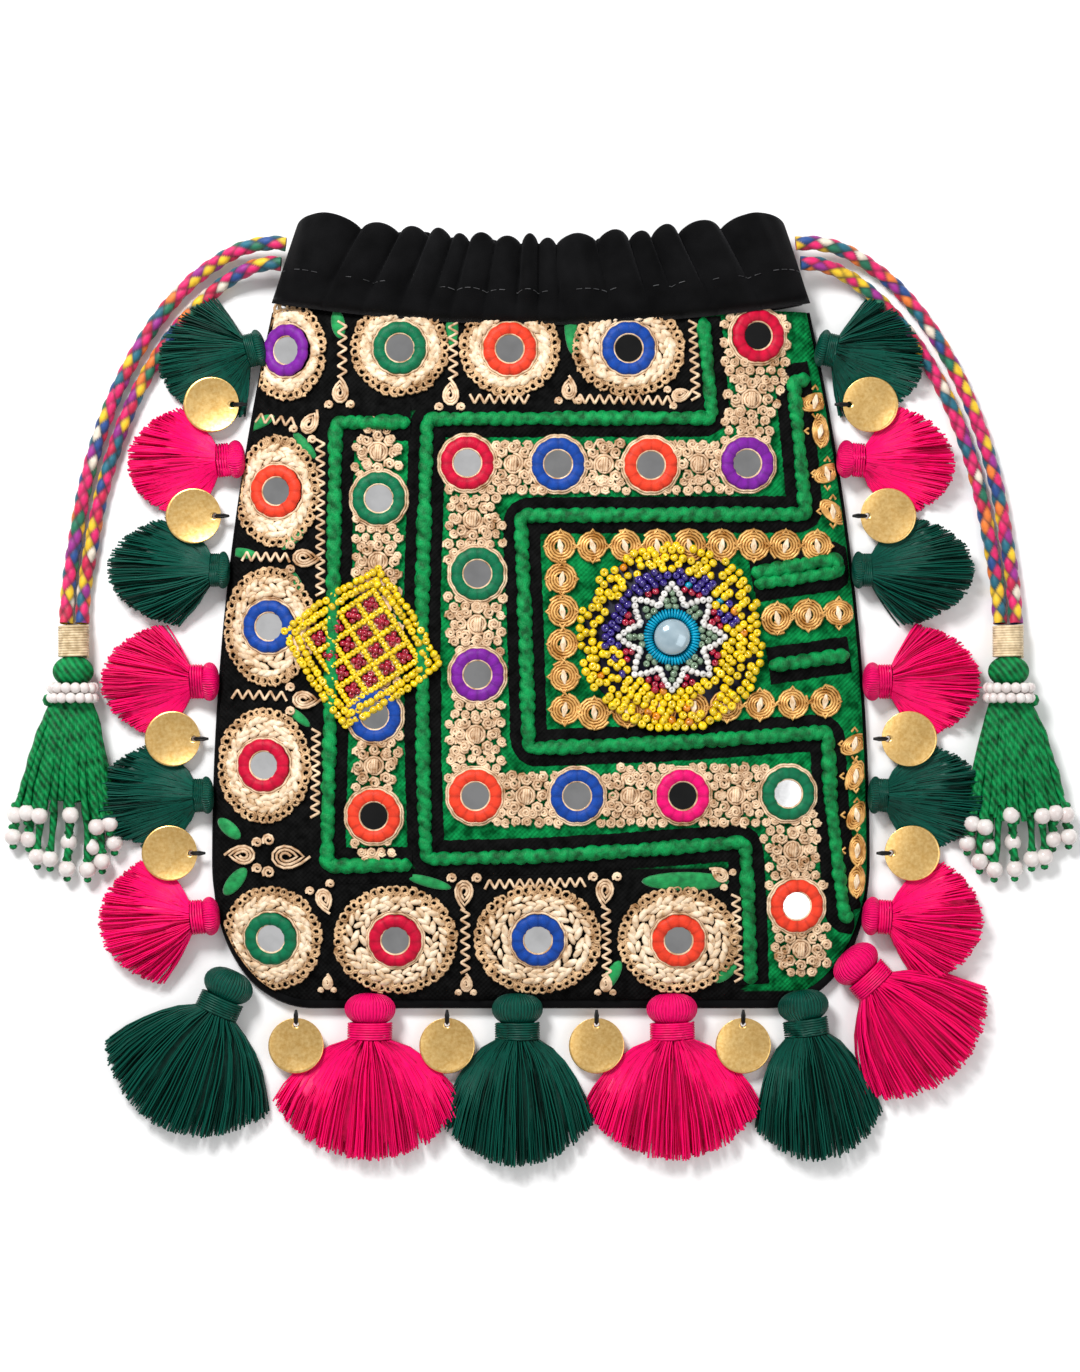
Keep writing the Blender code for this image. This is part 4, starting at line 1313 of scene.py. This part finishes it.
def make_gold_coils():
    """A chain of wound gold coils round the panel under the beaded rosette."""
    gold = Finish("gold cord", Roughness=0.36, Metallic=0.3, Specular_IOR_Level=0.4)
    gold.set("Base Color", gold.ramp(gold.noise(300, 3), (0.3, (0.38, 0.15, 0.02)),
                                     (0.7, (0.95, 0.58, 0.20))))
    gold.bump(gold.noise(2500, 2), 0.0001, 0.5)
    random = np.random.default_rng(21)
    lines, ties = [], []
    chain = list(GOLD_COILS)
    chain += [(float(half_width(y * MM)) / MM - 3.4, y, 0.52) for y in EDGE_COILS]
    for x, y, squeeze in chain:
        line = spiral(4.2, GOLD_COIL_RADIUS * random.uniform(0.96, 1.06), 0.26, 14)
        lines.append(moved(line, x * MM, y * MM, random.uniform(0, 6.28), squeeze, 1, 0.0010))
        upright = random.uniform(1.3, 1.9)
        for k in range(3):
            bar = np.array([(-0.0024, 0, 0), (0, 0.0007 * (k - 1), 0.0007), (0.0024, 0, 0)])
            ties.append(moved(bar, x * MM, y * MM, upright, 1, 1, 0.0013))
        link = np.array([(0.0042, -0.0010, 0.0), (0.0056, 0.0, 0.0006), (0.0042, 0.0010, 0.0)])
        for k in range(4):
            lines.append(moved(link, x * MM, y * MM, k * math.pi / 2, 1, 1, 0.0012))
    piece("gold_coils", lay(threads("gold", lines, 0.00047, 0)), gold.material)
    pale = thread_finish("pale tie thread", (0.6, 0.40, 0.22), (0.95, 0.82, 0.64), 0.45)
    piece("gold_coil_ties", lay(threads("ties", ties, 0.00042, 0)), pale)


# ---------------------------------------------------------------- beaded motifs

YELLOW_BEAD, RED_BEAD, WHITE_BEAD = (0.95, 0.66, 0.0), (0.42, 0.0, 0.03), (0.84, 0.81, 0.77)
NAVY_BEAD, SEA_BEAD, SAGE_BEAD = (0.03, 0.012, 0.22), (0.0, 0.33, 0.50), (0.20, 0.30, 0.19)


def bead_place(x, y, z, size, random, upright=1.5):
    """A bead with its hole leaning at random."""
    lean = Matrix.Rotation(random.uniform(0, upright), 4, Vector((random.uniform(-1, 1),
                                                                  random.uniform(-1, 1), 0.01)))
    return Matrix.Translation((x, y, z)) @ lean @ Matrix.Diagonal((size, size, size, 1))


def beaded(name, beads, replaces=()):
    """One piece of ring beads: x, y, height, size and colour of each."""
    random = np.random.default_rng(len(beads))
    shape = template(ring_bead)
    places = [bead_place(x, y, z, size, random) for x, y, z, size, _ in beads]
    mesh = copies(name, shape, places)
    shades = random.uniform(0.8, 1.08, len(beads))
    tint(mesh, [np.array(c) * s for (*_, c), s in zip(beads, shades)], len(shape.vertices))
    finish = bpy.data.materials.get("glass beads") or tinted_finish(
        "glass beads", 0.22, coat=0.5, Specular_IOR_Level=0.6)
    return piece(name, lay(mesh), finish, replaces=replaces)


def make_lozenge():
    """A slanting net of yellow beads with a knot of red ones in each mesh."""
    low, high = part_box("lozenge_motif")
    cx, cy = (low.x + high.x) / 2, (low.y + high.y) / 2
    turn = math.radians(33)
    half = 0.0165
    beads = []

    def add(u, v, z, size, colour):
        beads.append((cx + u * math.cos(turn) - v * math.sin(turn),
                      cy + u * math.sin(turn) + v * math.cos(turn), z, size, colour))

    cells = 4
    pitch = 2 * (half - 0.0026) / cells
    for i in range(cells + 1):
        for k in range(cells * 4 + 1):
            along, across = -half + 0.0026 + k * pitch / 4, -half + 0.0026 + i * pitch
            add(along, across, 0.0022, 0.00115, YELLOW_BEAD)
            if k % 4:
                add(across, along, 0.0022, 0.00115, YELLOW_BEAD)
    for i in range(cells):
        for j in range(cells):
            u, v = -half + 0.0026 + (i + 0.5) * pitch, -half + 0.0026 + (j + 0.5) * pitch
            for du, dv in ((-1, -1), (-1, 1), (1, -1), (1, 1)):
                add(u + du * 0.0011, v + dv * 0.0011, 0.0018, 0.00120, RED_BEAD)
            add(u, v, 0.0028, 0.00110, RED_BEAD)
    random = np.random.default_rng(17)
    for k in range(68):
        t = 4 * k / 68
        edge, share = int(t), t % 1
        u, v = ((-1 + 2 * share, -1), (1, -1 + 2 * share), (1 - 2 * share, 1),
                (-1, 1 - 2 * share))[edge]
        for row, reach in enumerate((half - 0.0002, half + 0.0024)):
            bulge = 1 + 0.06 * math.sin(math.pi * share)
            add(u * reach * bulge + random.uniform(-1, 1) * 0.0004,
                v * reach * bulge + random.uniform(-1, 1) * 0.0004,
                0.0020 + 0.0008 * (k % 2), 0.0014, YELLOW_BEAD)
    beaded("lozenge_beads", beads, ("lozenge_motif",))


def star_edge(turn):
    """Reach of the eight-pointed star in each direction."""
    point = abs((turn * 8 / (2 * math.pi) + 0.5) % 1.0 - 0.5) * 2
    return 0.0178 - 0.0068 * point


def rosette_colour(radius, turn, random):
    """The beads' colour by ring: sage star, red between its points, navy above, yellow."""
    if radius < star_edge(turn):
        return SAGE_BEAD
    upper_left = math.cos(turn - 2.0)
    if radius < 0.0176:
        return RED_BEAD
    if radius < 0.0228 and upper_left > -0.25:
        chance = random.uniform()
        if upper_left < 0.35 and chance > 0.6:
            return YELLOW_BEAD
        return SEA_BEAD if chance < 0.07 else NAVY_BEAD
    if radius < 0.0190 and random.uniform() < 0.3:
        return RED_BEAD
    return YELLOW_BEAD if random.uniform() > 0.03 else (0.75, 0.25, 0.0)


def make_round_motif():
    """Rings of beads round a turquoise rim and its cabochon."""
    low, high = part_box("round_motif")
    cx, cy = (low.x + high.x) / 2, (low.y + high.y) / 2
    random = np.random.default_rng(23)
    beads, white = [], []
    for k in range(72):
        turn = 2 * math.pi * k / 72
        reach = star_edge(turn)
        white.append((reach, turn))
        beads.append((cx + reach * math.cos(turn), cy + reach * math.sin(turn), 0.0030, 0.00120,
                      WHITE_BEAD))
    spots = np.array([(r * math.cos(t), r * math.sin(t)) for r, t in white])
    for row, radius in enumerate(np.arange(0.0104, 0.0322, 0.00205)):
        loose = 0.0002 if radius < 0.021 else 0.0006
        size = 0.00122 if radius < 0.0185 else 0.00142
        count = int(2 * math.pi * radius / (2.05 * size))
        for k in range(count):
            if radius > 0.021 and random.uniform() < 0.20:
                continue
            turn = 2 * math.pi * (k + 0.5 * (row % 2)) / count
            reach = radius * (1 + 0.014 * math.sin(9 * turn)) + random.uniform(-loose, loose)
            x, y = reach * math.cos(turn), reach * math.sin(turn)
            if np.hypot(*(spots - (x, y)).T).min() < 0.0017:
                continue
            beads.append((cx + x, cy + y, 0.0018 + random.uniform(0, 0.0014),
                          size * random.uniform(0.95, 1.1), rosette_colour(reach, turn, random)))
    beaded("round_motif_beads", beads, ("round_motif",))
    bars = []
    for k in range(52):
        turn = 2 * math.pi * k / 52
        t = np.linspace(0, math.pi, 7)
        reach = 0.0079 - 0.0014 * np.cos(t)
        bars.append(np.stack([cx + reach * math.cos(turn), cy + reach * math.sin(turn),
                              0.0022 + 0.0018 * np.sin(t)], 1))
    turquoise = thread_finish("turquoise beads", (0.0, 0.16, 0.28), (0.0, 0.40, 0.62), 0.25)
    piece("turquoise_rim", lay(threads("rim", bars, 0.00044, 1)), turquoise)
    disc = template(lambda bm: bmesh.ops.create_cone(
        bm, cap_ends=True, segments=40, radius1=0.0088, radius2=0.0084, depth=0.0016))
    disc.transform(Matrix.Translation((cx, cy, 0.0014)))
    backing = template(lambda bm: bmesh.ops.create_cone(
        bm, cap_ends=True, segments=48, radius1=0.0300, radius2=0.0296, depth=0.0004))
    backing.transform(Matrix.Translation((cx, cy, 0.0008)))
    dark = thread_finish("dark backing", (0.003, 0.003, 0.012), (0.008, 0.008, 0.03))
    piece("motif_backing", lay(joined("backing", [disc, backing])), dark)
    low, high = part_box("centre_cabochon")
    bm = bmesh.new()
    bmesh.ops.create_uvsphere(bm, u_segments=36, v_segments=22, radius=1)
    bmesh.ops.scale(bm, verts=bm.verts, vec=(0.0061, 0.0061, 0.0032))
    bmesh.ops.translate(bm, verts=bm.verts, vec=(cx, cy, low.z + 0.0004))
    piece("cabochon_stone", bm, cabochon_finish(), replaces=("centre_cabochon",))


# ---------------------------------------------------------------- tassels on the edge


def fan_lines(neck, shape, spread, bell, count, seed, stray=0.05):
    """Strands that leave the neck along +X and spread to an arc, in a local frame."""
    random = np.random.default_rng(seed)
    deep, wide = shape
    w = random.uniform(-1, 1, count)
    e = random.uniform(0, 1, count)
    rim = np.sqrt(np.clip(1 - w * w, 0, 1))
    long = 1 + random.uniform(-stray, stray * 0.4, count)
    start = np.stack([np.zeros(count), w * neck[0], neck[2] + (2 * e - 1) * neck[1] * rim], 1)
    tip_z = 0.0006 + (0.0085 * (0.35 + 0.65 * rim)) * e
    angle = w * spread + random.uniform(-0.04, 0.04, count)
    tip = np.stack([deep * long * np.cos(angle), wide * long * np.sin(angle), tip_z], 1)
    knee = np.stack([tip[:, 0] * (0.42 - 0.22 * bell), tip[:, 1] * (0.52 + 0.30 * bell),
                     0.5 * (start[:, 2] + tip_z) + 0.0030 * e * rim], 1)
    t = np.linspace(0, 1, 6)[None, :, None]
    lines = ((1 - t) ** 2 * start[:, None] + 2 * t * (1 - t) * knee[:, None]
             + t * t * tip[:, None])
    kink = random.uniform(-1, 1, (count, 1)) * 0.0004 * np.sin(3 * math.pi * t[0, :, 0])[None]
    lines[:, :, 1] += kink
    lines[:, :, 2] = np.maximum(lines[:, :, 2], 0.0005)
    return lines


def turned(lines, origin, degrees):
    c, s = math.cos(math.radians(degrees)), math.sin(math.radians(degrees))
    x, y = lines[..., 0].copy(), lines[..., 1].copy()
    lines[..., 0] = origin[0] + c * x - s * y
    lines[..., 1] = origin[1] + s * x + c * y
    return lines


STRAND_RADIUS = 0.00034


def under_discs(points):
    """Presses threads flat where a brass disc lies on them."""
    for joint in frame["joints"]:
        low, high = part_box(joint["child"])
        reach = (high.x - low.x) / 2
        away = np.hypot(points[..., 0] - (low.x + high.x) / 2,
                        points[..., 1] - (low.y + high.y) / 2)
        ceiling = low.z - 0.0006 + np.maximum(0, away - reach - 0.0030) * 0.9
        points[..., 2] = np.minimum(points[..., 2], np.maximum(ceiling, 0.0004))
    return points


def tassel_head(head_long, head_wide, middle_z):
    """The tied ball, a little pinched at its tie, and each point's direction round it."""
    bm = bmesh.new()
    bmesh.ops.create_uvsphere(bm, u_segments=32, v_segments=14, radius=1)
    around = []
    for vert in bm.verts:
        turn = math.atan2(vert.co.y, vert.co.x)
        around.append((math.cos(turn), math.sin(turn), 0))
        notch = 1 - 0.10 * max(0.0, -vert.co.z) ** 6
        ripple = 1 + 0.02 * math.cos(9 * turn)
        vert.co = Vector((head_long * (1 + vert.co.z * notch) - 0.0006,
                          vert.co.y * ripple * head_wide, vert.co.x * ripple * 0.0057 + middle_z))
    bmesh.ops.recalc_face_normals(bm, faces=bm.faces)
    head = bpy.data.meshes.new("head")
    bm.to_mesh(head)
    bm.free()
    return head, np.array(around, np.float32)


def tassel_heart(neck_x, neck_half, middle_z, shape, spread, bell):
    """The closed form inside the strands."""
    deep, wide = shape

    def surface(u, v):
        w = 2 * u - 1
        turn = 2 * math.pi * (v % 1.0)
        out = 0.5 - 0.5 * np.cos(turn)
        angle = w * spread * 0.92
        rim = np.sqrt(np.clip(1 - w * w, 0, 1))
        start_y = neck_half * w * 0.85
        knee_x = deep * 0.90 * np.cos(angle) * (0.42 - 0.22 * bell)
        knee_y = wide * 0.90 * np.sin(angle) * (0.52 + 0.30 * bell)
        x = 2 * out * (1 - out) * knee_x + out**2 * deep * 0.90 * np.cos(angle)
        y = ((1 - out) ** 2 * start_y + 2 * out * (1 - out) * knee_y
             + out**2 * wide * 0.90 * np.sin(angle))
        z = (middle_z * (1 - out) + 0.0034 * out
             + np.sin(turn) * (0.0036 * (1 - out) + 0.0030 * out + 0.0008) * (0.2 + 0.8 * rim))
        return np.stack([neck_x + x, y, np.maximum(z, 0.0004)], 1)

    return sheet_mesh("heart", 22, 20, surface, close_rows=True)


def edge_tassel(node, seam, degrees, shape, spread, bell, slot, finishes, seed, head_size):
    """Bound head, wrapped neck and a skirt of strands over a closed heart."""
    head_long, head_wide, neck_x = head_size
    neck_half = head_wide * 0.84
    middle_z = 0.0066
    strand_finish, ball_finish = finishes[slot]
    deep, wide = shape
    count = int(2 * spread * math.sqrt(deep * wide) / (2 * STRAND_RADIUS) * 4.2)
    lines = fan_lines((neck_half, 0.0050, middle_z), shape, spread, bell, count, seed)
    lines[:, :, 0] += neck_x
    lines = under_discs(turned(lines, seam, degrees))
    strands = threads("strands", list(lines), STRAND_RADIUS, -1)
    random = np.random.default_rng(seed + 500)
    # painted shade: each strand's random tone paints some strands darker, as if in shade
    tone = np.repeat(random.uniform(0, 1, count) ** 0.7, len(strands.vertices) // count)
    shade(strands, np.resize(tone, len(strands.vertices)))
    piece(f"{node}_skirt", strands, strand_finish, replaces=(node,), smooth=False)
    heart = tassel_heart(neck_x, neck_half, middle_z, shape, spread, bell)
    head, around = tassel_head(head_long, head_wide, middle_z)
    rounds = 7 if head_long > 0.005 else 5
    t = np.linspace(0, 1, rounds * 12 + 1)
    wind = 2 * math.pi * rounds * t
    wrap_start = head_long * 2 - 0.0018
    binding = np.stack([wrap_start + t * (neck_x - wrap_start), np.cos(wind) * neck_half,
                        middle_z + np.sin(wind) * 0.0050], 1)
    wrap = threads("wrap", [binding], 0.00046, 0)
    whole = joined("head", [heart, head, wrap])
    set_points(whole, under_discs(turned(points_of(whole), seam, degrees)))
    if "around" in whole.attributes:
        whole.attributes.remove(whole.attributes["around"])
    vectors = np.zeros((len(whole.vertices), 3), np.float32)
    vectors[:, 0] = 1
    vectors[len(heart.vertices):len(heart.vertices) + len(around)] = around
    layer = whole.attributes.new("around", "FLOAT_VECTOR", "POINT")
    layer.data.foreach_set("vector", vectors.ravel())
    piece(f"{node}_head", whole, ball_finish)


SIDE_TASSELS = (
    (0.1160, 14, (0.0300, 0.0215), 1.35, 0.2), (0.0780, 4, (0.0300, 0.0205), 1.25, 0.3),
    (0.0400, 0, (0.0345, 0.0200), 1.25, 0.3), (0.0020, 0, (0.0300, 0.0205), 1.25, 0.3),
    (-0.0365, 3, (0.0335, 0.0200), 1.25, 0.3), (-0.0775, 5, (0.0310, 0.0235), 1.20, 0.3),
)
LOWER_TASSELS = (
    (-0.1040, -0.0965, 245, (0.0425, 0.0370), 0.95, 0.6),
    (-0.0580, -0.1040, 269, (0.0405, 0.0380), 1.00, 0.7),
    (-0.0080, -0.1040, 270, (0.0425, 0.0345), 0.85, 0.8),
    (0.0445, -0.1040, 271, (0.0405, 0.0365), 0.97, 0.7),
    (0.0885, -0.1030, 278, (0.0420, 0.0300), 0.80, 0.8),
    (0.1035, -0.0900, 312, (0.0395, 0.0360), 0.85, 0.6),
)


BIG_HEAD = (0.0060, 0.0087, 0.0160)

SMALL_HEAD = (0.0036, 0.0066, 0.0098)

HIDDEN_HEAD = (0.0026, 0.0064, 0.0066)

def make_edge_tassels():
    green = ((0.0, 0.006, 0.004), (0.0, 0.078, 0.052))
    pink = ((0.42, 0.0, 0.045), (1.0, 0.0, 0.155))
    finishes = {}
    for slot, tones in (("dark_green_thread", green), ("pink_thread", pink)):
        word = "green" if "green" in slot else "pink"
        finishes[slot] = (silk_finish(f"{word} silk strands", *tones),
                          head_finish(f"{word} silk head", *tones))
    seed = 100
    for number, (y, lift, shape, spread, bell) in enumerate(SIDE_TASSELS, 1):
        slot = "dark_green_thread" if number % 2 else "pink_thread"
        size = HIDDEN_HEAD if number % 2 else SMALL_HEAD
        for side, word in ((-1, "left"), (1, "right")):
            degrees = 180 + lift if side < 0 else -lift
            seam = (side * (float(half_width(y)) + 0.0010), y)
            seed += 1
            edge_tassel(f"tassel_{word}_{number}", seam, degrees, shape, spread, bell, slot,
                        finishes, seed, size)
    for number, (x, y, degrees, shape, spread, bell) in enumerate(LOWER_TASSELS, 1):
        slot = "dark_green_thread" if number % 2 else "pink_thread"
        seed += 1
        edge_tassel(f"tassel_lower_{number}", (x, y), degrees, shape, spread, bell, slot,
                    finishes, seed, BIG_HEAD)


# ---------------------------------------------------------------- brass discs


def disc_mesh(low, high, hole):
    """A dished disc with its small hole, laid out from the hole's edge to the rim and back."""
    centre = np.array([(low.x + high.x) / 2, (low.y + high.y) / 2])
    radius = (high.x - low.x) / 2
    thick = 0.0008

    def shape(u, v):
        turn = 2 * math.pi * (u % 1.0)
        out = 0.5 - 0.5 * np.cos(2 * math.pi * (v % 1.0))
        top = v < 0.5
        x = (hole[0] + 0.0009 * np.cos(turn)) * (1 - out) + (centre[0] + radius * np.cos(turn)) * out
        y = (hole[1] + 0.0009 * np.sin(turn)) * (1 - out) + (centre[1] + radius * np.sin(turn)) * out
        share = np.hypot(x - centre[0], y - centre[1]) / radius
        z = low.z + (high.z - low.z - thick) * share**2.4 + np.where(top, thick, 0)
        edge = (out < 0.001) | (out > 0.999)
        return np.stack([x, y, np.where(edge, z + thick * np.where(top, -0.5, 0.5), z)], 1)

    return sheet_mesh("disc", 40, 24, shape, close_rows=True)


def make_discs():
    """Dished brass discs, each on a loop of black thread to the seam."""
    brass = brass_finish()
    black = thread_finish("black tie thread", (0.002, 0.002, 0.002), (0.015, 0.015, 0.015))
    for joint in frame["joints"]:
        node = joint["child"]
        low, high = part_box(node)
        hinge = Vector(joint["pos_m"])
        middle = (low + high) / 2
        out = (Vector((middle.x, middle.y, 0)) - Vector((hinge.x, hinge.y, 0))).normalized()
        hole = hinge + out * 0.0030
        piece(f"{node}_brass", disc_mesh(low, high, hole), brass, body=node,
              replaces=(node,))
        side = Vector((-out.y, out.x, 0))
        loops = []
        for k in (-1, 1):
            loops.append([tuple(hinge - out * 0.0018 + Vector((0, 0, 0.0012))),
                          tuple(hinge + side * 0.0004 * k + Vector((0, 0, 0.0020))),
                          tuple(hole - out * 0.0006 + side * 0.0003 * k + Vector((0, 0, 0.0016))),
                          tuple(hole + Vector((0, 0, -0.0002)))])
        piece(f"{node}_thread", threads("tie", [np.array(p) for p in loops], 0.00042, 1), black,
              body=node)


# ---------------------------------------------------------------- everything

make_camera()
make_drawcords()
make_studio()
make_casing()
make_ground()
make_back()
make_binding()
make_braids()
cream_cord = make_coils()
make_mirrors(cream_cord)
make_rosettes(cream_cord)
make_small_work(cream_cord)
make_gold_coils()
make_lozenge()
make_round_motif()
make_edge_tassels()
make_discs()
